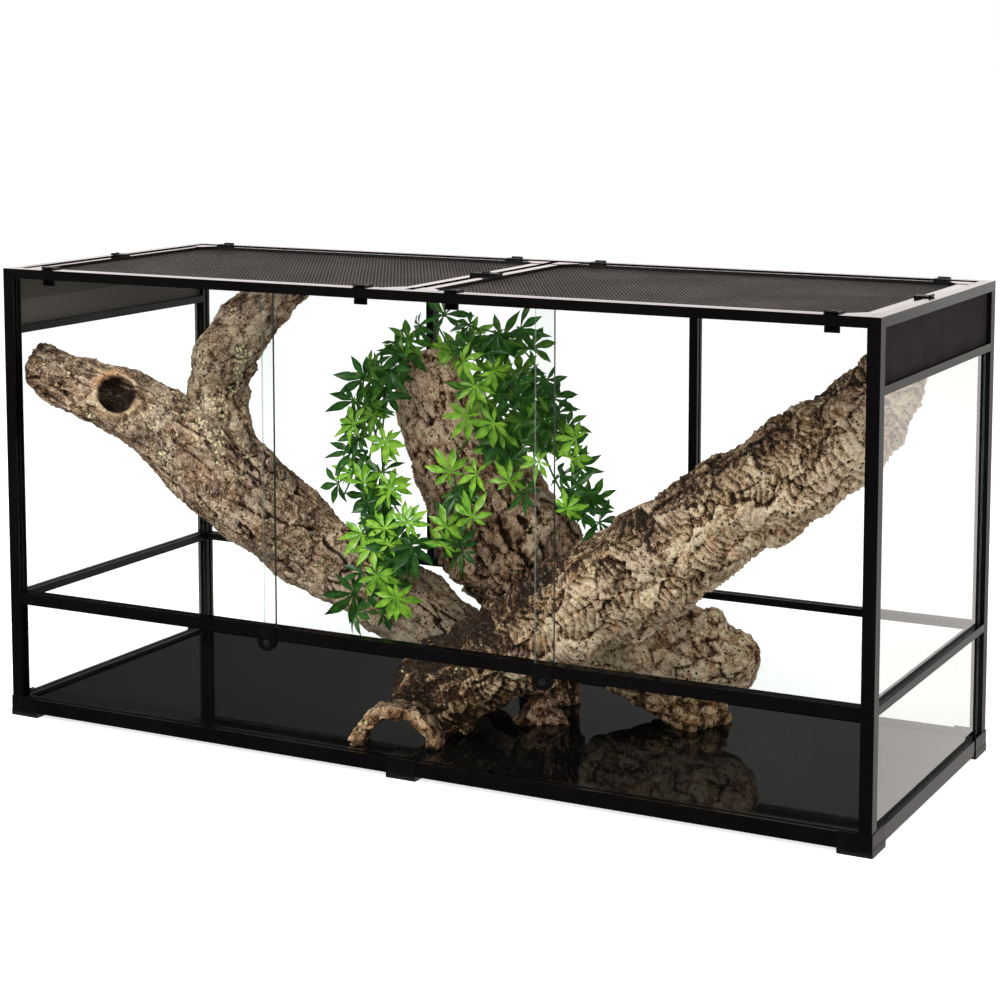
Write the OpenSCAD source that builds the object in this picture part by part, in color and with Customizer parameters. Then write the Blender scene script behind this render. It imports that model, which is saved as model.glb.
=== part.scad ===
// Reptile terrarium: aluminium-profile glass enclosure on corner feet, three sliding
// front doors with locks, vented sides, two lift-off mesh lids, cork bark and vines.
// Millimetres. +X right, +Y to the rear, +Z up. The origin is the middle of the
// footprint, on the surface that the feet stand on.

/* [Frame] */
// Width over the frame profiles
body_w = 1217; // [1200:1:1240]
// Depth over the frame profiles
body_d = 454; // [448:1:470]
// Top of the frame above the standing surface
body_h = 610; // [606:1:640]
// Depth of every frame profile, seen from the end
rail_t = 16; // [16:0.5:18]
// Height of the base rails
base_h = 19; // [18:0.5:24]
// Height of the top ring
ring_h = 12.5; // [12:0.5:16]
// Top of the front middle rail
mid_top = 171; // [150:1:190]
// Height of the front middle rail, which carries the door tracks
mid_front_h = 16; // [15:0.5:20]
// Height of the side and rear middle rails
mid_h = 10; // [10:0.5:14]
// Width of the two rear posts
rear_post_w = 12; // [11:0.5:16]

/* [Feet] */
// Gap between the base rails and the standing surface
foot_drop = 6; // [4:0.5:8]
// Length of a corner foot along the front
foot_x = 42; // [34:1:60]
// Length of a corner foot along the side
foot_y = 46; // [34:1:60]
// Height of a foot
foot_h = 27; // [26:0.5:32]
// Wall of a foot outside the rail
foot_wall = 1.5; // [1.2:0.1:1.5]

/* [Glass] */
// Thickness of every pane
glass_t = 4; // [3:0.5:4]
// Play of a pane in its channel, each side
glass_play = 0.3; // [0.2:0.1:0.4]
// Depth of the channels in the posts, middle rails and top ring
channel_d = 4; // [3:0.5:4]
// Depth of the channels in the base rails
base_channel_d = 7; // [5:0.5:8]
// Top surface of the floor panel
floor_top = 21; // [20:0.5:23]

/* [Doors] */
// Width of one door track
track_w = 5; // [4.8:0.1:5.2]
// Depth of the lower door tracks
track_low = 5; // [4:0.5:6]
// Depth of the upper door tracks, deep enough to lift a door out
track_high = 8; // [7:0.5:9]
// Distance from the middle to the centre of a door overlap
overlap_x = 195; // [180:1:210]
// Width of a door overlap
overlap_w = 22; // [16:1:30]

/* [Door locks] */
// Distance from the middle to a lock
lock_x = 196; // [182:1:208]
// Width of a lock body
lock_w = 26; // [24:1:30]
// Lowest point of a lock body
lock_low = 139; // [136:0.5:142]
// Highest point of a lock body
lock_high = 168; // [164:0.5:170]
// Radius of the lock's turning plug
plug_r = 4.7; // [4:0.1:4.8]
// Running play round the plug
plug_play = 0.1; // [0.08:0.01:0.15]

/* [Side vents] */
// Height of the side vent, from the bottom of its rail to the top ring
vent_h = 75.5; // [60:0.5:110]
// Height of the vent rail
vent_rail_h = 10; // [10:0.5:14]
// Thickness of the vent panel
vent_t = 1.5; // [1:0.1:1.6]
// Height of the doubled part of the vent panel, below the top ring
vent_double = 32.5; // [15:0.5:45]

/* [Lids] */
// Width of a lid's frame member
lid_w = 14; // [12:0.5:16]
// Height of a lid's frame
lid_h = 8.2; // [7:0.1:9]
// Gap between a lid and the ring round it
lid_gap = 3.5; // [3.3:0.1:4]
// Leg of the corner gusset of a lid
gusset = 32; // [24:1:32]
// Thickness of the mesh panel
mesh_t = 1; // [0.8:0.1:1.2]
// Openings along a lid's mesh panel
mesh_cells = 12; // [6:1:12]
// Width of the bars between those openings
mesh_bar = 4; // [2:0.5:8]
// Width of a snap clip
clip_w = 18; // [14:1:22]
// Distance from the middle to the inner clips, front and rear
clip_in = 64; // [55:1:90]
// Distance from an end's profile to the outer clips, front and rear
clip_end = 46.5; // [46:0.5:110]
// Length of the clip's leg below the lid's top
clip_leg = 20.5; // [18:0.5:22]
// Radius of the clip's finger roll
roll_r = 1.5; // [1.3:0.1:2.2]

/* [Cork bark] */
// Sides of a cork log
log_sides = 20; // [12:1:24]
// Rings between two points of a log's centre line
log_steps = 3; // [2:1:4]
// Relief of the bark as a share of the radius
bark_relief = 0.05; // [0:0.01:0.08]
// Radius of the knot hole
knot_r = 22; // [16:1:26]
// Depth of the knot hole
knot_deep = 34; // [20:1:40]
// Outer radius of the half tube
tube_r = 57; // [50:1:60]
// Wall of the half tube
tube_wall = 15; // [10:1:18]
// Length of the half tube
tube_len = 38; // [30:1:42]
// Gap between a sawn end and the mesh above it
sawn_gap = 3; // [2:0.5:6]
// Thickness of one layer of the layered flat
layer_t = 9.5; // [8:0.1:9.6]
// How far each layer of the flat lies to the left of the one below it
layer_shift = 13; // [0:1:14]
// Half length of the highest layer
layer_x = 80; // [60:1:84]
// Half width of the lowest layer
layer_y = 46; // [36:1:52]

/* [Vines] */
// Length of a leaf from its centre to the tip of the middle finger
leaf_r = 29; // [22:1:32]
// Thickness of a leaf
leaf_t = 0.8; // [0.6:0.1:1.2]
// Distance between leaves along a strand
leaf_step = 27; // [22:1:40]
// Radius of a strand
stem_r = 1.3; // [1:0.1:2]

/* [Output] */
// Sub-part to show

/* [Hidden] */
$fn = 48;
eps = 0.01;
seat = 0.3;

hx = body_w / 2;
hy = body_d / 2;
ix = hx - rail_t;
iy = hy - rail_t;
base_top = foot_drop + base_h;
ring_low = body_h - ring_h;
mid_z = mid_top - 1;
vent_low = ring_low - vent_h;
vent_fold = ring_low - vent_double;
chan_u = rail_t / 2;
chan_w = glass_t + 2 * glass_play;
ledge_w = 9;
ledge_t = 2.5;
floor_t = 4;
floor_ledge = 8;
track_wall = (rail_t - 2 * track_w) / 3;
track_1 = track_wall + track_w / 2;
track_2 = 2 * track_wall + 1.5 * track_w;
door_z0 = mid_top - track_low + seat;
door_z1 = ring_low + track_high - 3;
jamb_d = 5;
rear_post_x = body_w / 6;
door_in = overlap_x - overlap_w / 2;
door_out = overlap_x + overlap_w / 2;
lid_z = ring_low + ledge_t + seat;
lid_top = lid_z + lid_h;
lid_x0 = 3 + lid_gap;
lid_x1 = ix - lid_gap;
lid_y = iy - lid_gap;
mesh_z = lid_z + 3;
clip_t = 2.4;
clip_out = ix - clip_end;
notch_w = clip_w + 2;
notch_d = 4;
plug_z = mid_top - mid_front_h - plug_r - 0.9;
plug_deep = 5.4;
lock_proud = foot_wall;

black = [0.05, 0.05, 0.055];
dark = [0.12, 0.115, 0.11];
clear = [0.82, 0.88, 0.86, 0.35];
bark = [0.42, 0.35, 0.28];
leaf_green = [0.20, 0.42, 0.12];

// ---------------------------------------------------------------- rails

// A profile lies in the plane (u, z), with u = 0 on the outer face and growing inwards.

// Runs a profile along the front side, over the full width.
module along_front(half) {
  translate([-half, -hy, 0]) rotate([90, 0, 90]) linear_extrude(2 * half) children();
}

// Runs a profile along the left side, over the full depth.
module along_left(half) {
  translate([-hx, half, 0]) rotate([90, 0, 0]) linear_extrude(2 * half) children();
}

// The corner-to-corner wedge that gives the front rail its mitred ends.
module front_wedge(reach) {
  translate([0, 0, -1]) linear_extrude(body_h + 2)
    polygon([[-hx, -hy], [hx, -hy], [hx - reach, -hy + reach], [-hx + reach, -hy + reach]]);
}

// The same for the left rail.
module left_wedge(reach) {
  translate([0, 0, -1]) linear_extrude(body_h + 2)
    polygon([[-hx, -hy], [-hx, hy], [-hx + reach, hy - reach], [-hx + reach, -hy + reach]]);
}

// A glass channel that opens upwards from level z, centred in the profile.
module channel_up(z, deep) {
  translate([chan_u - chan_w / 2, z - deep]) square([chan_w, deep + eps]);
}

// A glass channel that opens downwards from level z.
module channel_down(z, deep) {
  translate([chan_u - chan_w / 2, z - eps]) square([chan_w, deep + eps]);
}

// One door track at distance u from the outer face.
module track(u, z, deep) {
  translate([u - track_w / 2, z]) square([track_w, deep]);
}

// Base rail: a box with a glass channel on top and a ledge for the floor panel inside.
module base_profile() {
  difference() {
    union() {
      translate([0, foot_drop]) square([rail_t, base_h]);
      translate([rail_t - eps, floor_top - floor_t - 3]) square([floor_ledge, 3]);
    }
    channel_up(base_top, base_channel_d);
  }
}

module base_front() {
  intersection() {
    along_front(hx) base_profile();
    front_wedge(rail_t + floor_ledge);
  }
}

module base_left() {
  intersection() {
    along_left(hy) base_profile();
    left_wedge(rail_t + floor_ledge);
  }
}

module base_rail_front() color(black) base_front();
module base_rail_rear() color(black) mirror([0, 1, 0]) base_front();
module base_rail_left() color(black) base_left();
module base_rail_right() color(black) mirror([1, 0, 0]) base_left();

// Top ring: a box with an inner ledge that carries the lids.
module ring_profile() {
  translate([0, ring_low]) square([rail_t, ring_h]);
  translate([rail_t - eps, ring_low]) square([ledge_w, ledge_t]);
}

// Two deep tracks on the underside of the front rail for the sliding doors.
module ring_front_profile() {
  difference() {
    ring_profile();
    track(track_1, ring_low - eps, track_high);
    track(track_2, ring_low - eps, track_high);
  }
}

module ring_glass_profile() {
  difference() {
    ring_profile();
    channel_down(ring_low, channel_d);
  }
}

// The cut in the ledge that a lid clip's leg goes down through.
module clip_notch() {
  translate([-notch_w / 2, -notch_d, ring_low - 1])
    cube([notch_w, notch_d + eps, ledge_t + 2]);
}

// Front and rear notches, placed at y = -iy for the front side.
module notches_front() {
  for (x = [-clip_out, -clip_in, clip_in, clip_out])
    translate([x, -iy, 0]) mirror([0, 1, 0]) clip_notch();
}

module notch_left() {
  translate([-ix, 0, 0]) rotate([0, 0, 90]) clip_notch();
}

module ring_long() {
  difference() {
    intersection() {
      children();
      front_wedge(rail_t + ledge_w);
    }
    notches_front();
  }
}

module ring_left() {
  difference() {
    intersection() {
      along_left(hy) ring_glass_profile();
      left_wedge(rail_t + ledge_w);
    }
    notch_left();
  }
}

module top_rail_front() color(black) ring_long() along_front(hx) ring_front_profile();
module top_rail_rear() color(black) mirror([0, 1, 0]) ring_long()
  along_front(hx) ring_glass_profile();
module top_rail_left() color(black) ring_left();
module top_rail_right() color(black) mirror([1, 0, 0]) ring_left();

// Cross bar between the lids: a flat that carries both, with a rib between them.
module top_cross_bar() color(black) {
  half = 3 + ledge_w + 1;
  difference() {
    translate([-half, -iy + ledge_w, ring_low]) cube([2 * half, 2 * (iy - ledge_w), ledge_t]);
    for (s = [-1, 1])
      translate([s * (3 + notch_d / 2), 0, ring_low])
        cube([notch_d, notch_w, 3 * ledge_t], center = true);
  }
  translate([-3, -iy, ring_low + ledge_t - eps]) cube([6, 2 * iy, 5]);
}

// Front middle rail: door tracks on top, channel for the fixed front glass below.
module middle_rail_front() color(black)
  along_front(ix) difference() {
    translate([0, mid_top - mid_front_h]) square([rail_t, mid_front_h]);
    track(track_1, mid_top - track_low, track_low + eps);
    track(track_2, mid_top - track_low, track_low + eps);
    channel_down(mid_top - mid_front_h, channel_d);
  }

// Side and rear middle rails hold glass above and below.
module mid_profile() {
  difference() {
    translate([0, mid_z - mid_h]) square([rail_t, mid_h]);
    channel_up(mid_z, channel_d);
    channel_down(mid_z - mid_h, channel_d);
  }
}

module middle_rail_rear() color(black) mirror([0, 1, 0]) along_front(ix) mid_profile();
module middle_rail_left() color(black) along_left(iy) mid_profile();
module middle_rail_right() color(black) mirror([1, 0, 0]) along_left(iy) mid_profile();

// Vent rail: glass channel below, and above it the slot of the vent panel.
module vent_rail_left() color(black)
  along_left(iy) difference() {
    translate([0, vent_low]) square([rail_t, vent_rail_h]);
    channel_up(vent_low + vent_rail_h, channel_d);
    channel_down(vent_low, channel_d);
  }

module vent_rail_right() color(black) mirror([1, 0, 0]) vent_rail_left();

// ---------------------------------------------------------------- posts

// A corner post in plan, drawn for the front-left corner.
module post_square() {
  translate([-hx, -hy]) square([rail_t, rail_t]);
}

// Channel in the post's rear face for the side glass.
module post_side_channel() {
  translate([-hx + chan_u - chan_w / 2, -iy - jamb_d]) square([chan_w, jamb_d + eps]);
}

// Channel in the post's inner face for a pane that runs along the front or rear.
module post_long_channel(u, wide) {
  translate([-ix - jamb_d, -hy + u - wide / 2]) square([jamb_d + eps, wide]);
}

module slab_z(z0, z1) {
  translate([0, 0, z0]) linear_extrude(z1 - z0) children();
}

// Front post: jambs for both door tracks above the middle rail, glass channel below it.
module front_post() {
  difference() {
    slab_z(base_top, ring_low) post_square();
    slab_z(base_top - 1, ring_low + 1) post_side_channel();
    slab_z(base_top - 1, mid_top - mid_front_h + channel_d) post_long_channel(chan_u, chan_w);
    slab_z(mid_top - track_low, ring_low + 1) post_long_channel(track_1, track_w);
    slab_z(mid_top - track_low, ring_low + 1) post_long_channel(track_2, track_w);
  }
}

// Rear post: one glass channel on each inner face.
module rear_corner_post() {
  difference() {
    slab_z(base_top, ring_low) post_square();
    slab_z(base_top - 1, ring_low + 1) post_side_channel();
    slab_z(base_top - 1, ring_low + 1) post_long_channel(chan_u, chan_w);
  }
}

module post_front_left() color(black) front_post();
module post_front_right() color(black) mirror([1, 0, 0]) front_post();
module post_rear_left() color(black) mirror([0, 1, 0]) rear_corner_post();
module post_rear_right() color(black) mirror([1, 0, 0]) mirror([0, 1, 0]) rear_corner_post();

// Rear post between two panes, an H in plan.
module rear_post_right() color(black)
  slab_z(mid_z, ring_low) difference() {
    translate([rear_post_x - rear_post_w / 2, iy]) square([rear_post_w, rail_t]);
    for (s = [-1, 1])
      translate([rear_post_x + s * rear_post_w / 2, hy - chan_u])
        square([2 * channel_d, chan_w], center = true);
  }

module rear_post_left() mirror([1, 0, 0]) rear_post_right();

// ---------------------------------------------------------------- feet

// Moulded corner foot: floor plate under both rails, thin walls up their outer faces
// and a thicker skirt round the bottom.
module foot() {
  skin = foot_wall - 0.4;
  difference() {
    union() {
      translate([-hx - skin, -hy - skin, 0]) cube([foot_x, foot_y, foot_h]);
      translate([-hx - foot_wall, -hy - foot_wall, 0]) cube([foot_x + 0.8, foot_y + 0.8, 9]);
    }
    translate([-hx, -hy, foot_drop]) cube([foot_x * 2, foot_y * 2, foot_h]);
    translate([-ix + 4, -iy + 4, -1]) cube([foot_x, foot_y, foot_h]);
    translate([-hx + rail_t / 2, -hy + rail_t / 2, -1]) cylinder(r = 3, h = 3, $fn = 32);
  }
}

module foot_front_left() color(black) foot();
module foot_front_right() color(black) mirror([1, 0, 0]) foot();
module foot_rear_left() color(black) mirror([0, 1, 0]) foot();
module foot_rear_right() color(black) mirror([1, 0, 0]) mirror([0, 1, 0]) foot();

// Middle foot that snaps round the long base rails, front and rear.
module foot_clip() {
  half = foot_x / 2;
  translate([-half, -hy - foot_wall + 0.4, 0]) cube([2 * half, foot_wall - 0.4, foot_h]);
  translate([-half, -hy - foot_wall + 0.4, 0]) cube([2 * half, rail_t + foot_wall + 2.6, foot_drop]);
  translate([-half, -iy + 0.2, 0]) cube([2 * half, 2, floor_top - floor_t - 3.2]);
}

module foot_clips() color(black) {
  foot_clip();
  mirror([0, 1, 0]) foot_clip();
}

// ---------------------------------------------------------------- panes

module pane_front(x0, x1, z0, z1, u) {
  translate([x0, -hy + u - glass_t / 2, z0]) cube([x1 - x0, glass_t, z1 - z0]);
}

module pane_left(z0, z1) {
  y = iy + jamb_d - seat;
  translate([-hx + chan_u - glass_t / 2, -y, z0]) cube([glass_t, 2 * y, z1 - z0]);
}

low_z0 = base_top - base_channel_d + seat;
pane_x = ix + jamb_d - seat;

module floor_panel() color(dark)
  translate([-ix + seat, -iy + seat, floor_top - floor_t])
    cube([2 * (ix - seat), 2 * (iy - seat), floor_t]);

module front_glass() color(clear)
  pane_front(-pane_x, pane_x, low_z0, mid_top - mid_front_h + channel_d - seat, chan_u);

module side_glass_low_left() color(clear)
  pane_left(low_z0, mid_z - mid_h + channel_d - seat);
module side_glass_low_right() color(clear)
  mirror([1, 0, 0]) pane_left(low_z0, mid_z - mid_h + channel_d - seat);
module side_glass_left() color(clear)
  pane_left(mid_z - channel_d + seat, vent_low + channel_d - seat);
module side_glass_right() color(clear)
  mirror([1, 0, 0]) pane_left(mid_z - channel_d + seat, vent_low + channel_d - seat);

module rear_glass_low() color(clear) mirror([0, 1, 0])
  pane_front(-pane_x, pane_x, low_z0, mid_z - mid_h + channel_d - seat, chan_u);

module rear_pane(x0, x1) mirror([0, 1, 0])
  pane_front(x0, x1, mid_z - channel_d + seat, ring_low + channel_d - seat, chan_u);

post_edge = rear_post_w / 2 - channel_d + seat;
module rear_glass_left() color(clear) rear_pane(-pane_x, -rear_post_x - post_edge);
module rear_glass_middle() color(clear)
  rear_pane(-rear_post_x + post_edge, rear_post_x - post_edge);
module rear_glass_right() color(clear) rear_pane(rear_post_x + post_edge, pane_x);

// Sliding doors: the side panes share the outer track, the middle one has the inner track.
module door_left() color(clear) pane_front(-pane_x, -door_in, door_z0, door_z1, track_1);
module door_right() color(clear) pane_front(door_in, pane_x, door_z0, door_z1, track_1);
module door_middle() color(clear)
  pane_front(-door_out, door_out, door_z0, door_z1, track_2);

// Vent panel, folded double along its upper half so that it stays flat.
module vent_panel_left() color(dark) {
  y = iy + jamb_d - seat;
  z0 = vent_low + vent_rail_h - channel_d + seat;
  z1 = ring_low + channel_d - seat;
  x0 = -hx + chan_u - glass_t / 2;
  translate([x0, -y, z0]) cube([vent_t, 2 * y, z1 - z0]);
  translate([x0 + vent_t - eps, -iy + 1, vent_fold]) cube([vent_t, 2 * iy - 2, ring_low - vent_fold - 1]);
}

module vent_panel_right() mirror([1, 0, 0]) vent_panel_left();

// ---------------------------------------------------------------- door locks

// Outline of a lock body, straight at the top and round below.
module lock_outline() {
  hull_z = lock_low + lock_w / 2;
  translate([0, hull_z]) circle(r = lock_w / 2, $fn = 64);
  translate([-lock_w / 2, hull_z]) square([lock_w, lock_high - hull_z]);
}

// Plate on the face of the middle rail, and below the rail a block back to the glass.
module lock_body(x) {
  back = chan_u - glass_t / 2 - seat;
  difference() {
    union() {
      translate([x, -hy, 0]) rotate([90, 0, 0]) linear_extrude(lock_proud) lock_outline();
      translate([x, -hy + back, 0]) rotate([90, 0, 0]) linear_extrude(back) intersection() {
        lock_outline();
        translate([-lock_w, 0]) square([2 * lock_w, mid_top - mid_front_h]);
      }
    }
    translate([x, -hy - lock_proud + plug_deep, plug_z]) rotate([90, 0, 0])
      cylinder(r = plug_r + plug_play, h = plug_deep + 1, $fn = 64);
    translate([x, -hy - lock_proud + plug_deep, plug_z]) rotate([90, 0, 0])
      cylinder(r = plug_r + 0.9 + plug_play, h = 1.6, $fn = 64);
  }
}

// Turning plug with a keyway and a collar that keeps it in the body.
module lock_plug(x) {
  translate([x, -hy - lock_proud + plug_deep - seat, plug_z]) rotate([90, 0, 0])
    difference() {
      union() {
        cylinder(r = plug_r, h = plug_deep - seat, $fn = 64);
        cylinder(r = plug_r + 0.8, h = 1.1, $fn = 64);
      }
      translate([-0.6, -3, plug_deep - seat - 3]) cube([1.2, 6, 4]);
      translate([0, 1.2, plug_deep - seat - 3]) cylinder(r = 1.1, h = 4, $fn = 32);
    }
}

module lock_body_left() color(black) lock_body(-lock_x);
module lock_body_right() color(black) lock_body(lock_x);
module lock_plug_left() color([0.75, 0.75, 0.76]) lock_plug(-lock_x);
module lock_plug_right() color([0.75, 0.75, 0.76]) lock_plug(lock_x);

// ---------------------------------------------------------------- lids

// Gusset plate in a lid's corner, with a diagonal inner edge.
module gusset_plan() {
  polygon([[0, 0], [gusset, 0], [gusset, lid_w], [lid_w, gusset], [0, gusset]]);
}

module lid_corner(x, y, fx, fy) {
  translate([x, y, lid_z]) mirror([fx, 0, 0]) mirror([0, fy, 0])
    linear_extrude(lid_h + 0.5) gusset_plan();
}

// Lid frame with a groove all round for the mesh.
module lid_frame() {
  difference() {
    union() {
      difference() {
        translate([lid_x0, -lid_y, lid_z]) cube([lid_x1 - lid_x0, 2 * lid_y, lid_h]);
        translate([lid_x0 + lid_w, -lid_y + lid_w, lid_z - 1])
          cube([lid_x1 - lid_x0 - 2 * lid_w, 2 * (lid_y - lid_w), lid_h + 2]);
      }
      lid_corner(lid_x0, -lid_y, 0, 0);
      lid_corner(lid_x1, -lid_y, 1, 0);
      lid_corner(lid_x0, lid_y, 0, 1);
      lid_corner(lid_x1, lid_y, 1, 1);
    }
    translate([lid_x0 + lid_w - 4, -lid_y + lid_w - 4, mesh_z - 0.2])
      cube([lid_x1 - lid_x0 - 2 * lid_w + 8, 2 * (lid_y - lid_w) + 8, mesh_t + 0.4]);
  }
}

// Mesh panel: a rim that sits in the frame's groove and a plain grid of openings.
module lid_mesh() {
  inset = lid_w - 4 + seat;
  wide = lid_x1 - lid_x0 - 2 * lid_w;
  deep = 2 * (lid_y - lid_w);
  rows = round(mesh_cells * deep / wide);
  cell = [(wide - mesh_bar) / mesh_cells, (deep - mesh_bar) / rows];
  difference() {
    translate([lid_x0 + inset, -lid_y + inset, mesh_z])
      cube([lid_x1 - lid_x0 - 2 * inset, 2 * (lid_y - inset), mesh_t]);
    for (i = [0 : mesh_cells - 1]) for (j = [0 : rows - 1])
      translate([lid_x0 + lid_w + mesh_bar + i * cell[0], -lid_y + lid_w + mesh_bar + j * cell[1], mesh_z - 1])
        cube([cell[0] - mesh_bar, cell[1] - mesh_bar, mesh_t + 2]);
  }
}

// Snap clip: a plate on the lid frame, a leg through the gap beside it and a finger roll
// over the ring. Drawn at the origin of a lid edge, with +Y outwards.
module clip() {
  half = clip_w / 2;
  arm = lid_gap + 2.5;
  translate([-half, -lid_w + 1, 0]) cube([clip_w, lid_w - 1 + eps, 3.2]);
  translate([-half, 0, 1.8]) cube([clip_w, arm, 1.4]);
  translate([-half, 0.4, -clip_leg]) cube([clip_w, clip_t, clip_leg + 2]);
  translate([-half, 0.4, -clip_leg]) cube([clip_w, clip_t + 0.4, 5]);
  translate([-half + 1, arm, 1.8 + roll_r]) rotate([0, 90, 0])
    cylinder(r = roll_r, h = clip_w - 2, $fn = 32);
}

module lid_clips() {
  for (x = [clip_in, clip_out]) {
    translate([x, lid_y, lid_top]) clip();
    translate([x, -lid_y, lid_top]) mirror([0, 1, 0]) clip();
  }
  translate([lid_x1, 0, lid_top]) rotate([0, 0, -90]) clip();
  translate([lid_x0, 0, lid_top]) rotate([0, 0, 90]) clip_short();
}

// The clip at the cross bar is cut short, because its twin on the other lid faces it.
module clip_short() {
  intersection() {
    clip();
    translate([-clip_w, -lid_w - 1, -50]) cube([2 * clip_w, lid_w + lid_x0 + 0.7, 100]);
  }
}

module lid_frame_right() color(black) lid_frame();
module lid_frame_left() color(black) mirror([1, 0, 0]) lid_frame();
module lid_mesh_right() color(dark) lid_mesh();
module lid_mesh_left() color(dark) mirror([1, 0, 0]) lid_mesh();
module lid_clips_right() color(black) lid_clips();
module lid_clips_left() color(black) mirror([1, 0, 0]) lid_clips();

// ---------------------------------------------------------------- cork bark

// Centre lines as [x, y, z, radius].
branch_line = [
  [-591, -172, 468, 33], [-552, -156, 451, 38], [-500, -135, 430, 45], [-445, -105, 400, 54],
  [-385, -77, 348, 64], [-326, -44, 282, 62], [-266, -14, 230, 57], [-200, 4, 190, 52],
  [-140, 16, 157, 55], [-92, 26, 130, 52], [-54, 32, 98, 43], [-22, 36, 68, 34], [4, 38, 38, 28]];
arm_line = [
  [-352, -66, 330, 44], [-372, -64, 385, 44], [-383, -58, 438, 42], [-375, -45, 490, 43],
  [-344, -25, 538, 39], [-320, -12, 570, 36], [-302, -2, 598, 35]];
upright_line = [
  [-124, 60, 496, 40], [-107, 62, 436, 60], [-77, 66, 363, 75], [-44, 74, 300, 87],
  [-14, 88, 240, 100], [6, 96, 196, 88], [22, 102, 145, 66], [34, 106, 95, 52], [40, 108, 45, 43],
  [42, 108, 0, 42]];
log_line = [
  [558, 14, 545, 25], [552, 12, 516, 38], [522, 6, 476, 49], [488, 0, 434, 58], [434, -4, 393, 63],
  [359, -12, 341, 65], [296, -20, 292, 66], [231, -28, 246, 68], [167, -38, 203, 68],
  [101, -48, 158, 64], [36, -60, 116, 59], [-6, -70, 88, 60], [-31, -75, 68, 60], [-42, -76, 52, 60]];
low_log_line = [
  [340, 108, 120, 16], [326, 108, 117, 32], [302, 108, 110, 47], [268, 108, 111, 60],
  [232, 108, 113, 67], [190, 106, 108, 64], [150, 104, 104, 56], [116, 104, 98, 45]];

// Where the knot's mouth lies, and the swelling round it
knot_at = [-466, -172, 444];
knot_swell = [7, 300, 9];

function xyz(p) = [p[0], p[1], p[2]];
function unit(v) = v / norm(v);

// Catmull-Rom blend of four points.
function blend(a, b, c, d, t) =
  0.5 * (2 * b + (c - a) * t + (2 * a - 5 * b + 4 * c - d) * t * t
         + (3 * b - a - 3 * c + d) * t * t * t);

// A centre line with extra rings between its points.
function finer(p, n) = [
  for (i = [0 : len(p) - 2]) for (j = [0 : n - 1])
    blend(p[max(i - 1, 0)], p[i], p[i + 1], p[min(i + 2, len(p) - 1)], j / n),
  p[len(p) - 1]];

// Bark relief round a ring at angle a and station s.
function relief(a, s) =
  1 + bark_relief * (sin(3 * a + 47 * s) + 0.7 * sin(5 * a - 83 * s) + 0.6 * sin(2 * a + 131 * s));

// Height of a swelling at ring i and angle a.
function bump(i, a, swell) =
  let (d = ((a - swell[1] + 540) % 360 - 180) / 34, e = (i - swell[0]) / 2.2)
  swell[2] * exp(-d * d - e * e);

function heading(s, i) = unit(xyz(s[min(i + 1, len(s) - 1)]) - xyz(s[max(i - 1, 0)]));
function side_of(t) = unit([0, 1, 0] - t[1] * t);

// One ring point of a log.
function ring_at(s, i, a, flat, grow) =
  let (t = heading(s, i), v = side_of(t), u = cross(v, t), r = s[i][3] * relief(a, i) + grow)
  xyz(s[i]) + r * cos(a) * u + flat * r * sin(a) * v;

// Solid log round a centre line; flat below 1 makes it shallower from front to rear,
// and swell raises a bump at [ring, angle, height].
module log_solid(line, flat = 1, grow = 0, swell = [0, 0, 0]) {
  s = finer(line, log_steps);
  n = len(s);
  m = log_sides;
  rings = [for (i = [0 : n - 1]) for (k = [0 : m - 1])
    ring_at(s, i, 360 * k / m, flat, grow + bump(i, 360 * k / m, swell))];
  walls = [for (i = [0 : n - 2]) for (k = [0 : m - 1]) each [
    [i * m + k, i * m + (k + 1) % m, (i + 1) * m + k],
    [(i + 1) * m + k, i * m + (k + 1) % m, (i + 1) * m + (k + 1) % m]]];
  ends = [for (k = [0 : m - 1]) each [
    [n * m, (k + 1) % m, k],
    [n * m + 1, (n - 1) * m + k, (n - 1) * m + (k + 1) % m]]];
  tip = xyz(s[0]) + 0.25 * s[0][3] * heading(s, 0);
  polyhedron(concat(rings, [tip, xyz(s[n - 1])]), concat(walls, ends), convexity = 6);
}

// Keeps what fits between the floor panel, the walls and the lids, so that a piece has a
// flat seat on the floor and a sawn end under the mesh.
module in_room() {
  intersection() {
    children();
    translate([-ix + 1, -iy + 1, floor_top])
      cube([2 * ix - 2, 2 * iy - 2, mesh_z - sawn_gap - floor_top]);
  }
}

// Long member of the forked branch, with a knot hole that faces the front.
module cork_branch() color(bark) difference() {
  in_room() log_solid(branch_line, 1, 0, knot_swell);
  translate(knot_at) knot_turn() translate([0, 0, -knot_deep])
    cylinder(r = knot_r, h = knot_deep + 30, $fn = 20);
}

// Rising member of the fork, rooted in the long one.
module cork_arm() color(bark) in_room() log_solid(arm_line);

// Turns +Z to the knot's direction: forward, a little right and up.
module knot_turn() {
  rotate([0, 0, -52]) rotate([0, 76, 0]) children();
}

// Upright piece that leans back to the left.
module cork_upright() color(bark) in_room() log_solid(upright_line, 0.62);

// Large log from the front of the floor up to the right rear.
module cork_log() color(bark) in_room() log_solid(log_line);

// Short log that lies on the layered flat.
module cork_low_log() color(bark) intersection() {
  log_solid(low_log_line, 0.72);
  translate([0, 0, flat_top + seat]) cube([ix, iy, 200]);
}

// Where the loose pieces lie on the floor panel
tube_at = [-36, -180, floor_top + seat];
flats_at = [233, 106, floor_top + seat];
wedge_at = [74, 12, floor_top + seat];
layers = 4;
flat_top = flats_at[2] + layers * layer_t;

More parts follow.
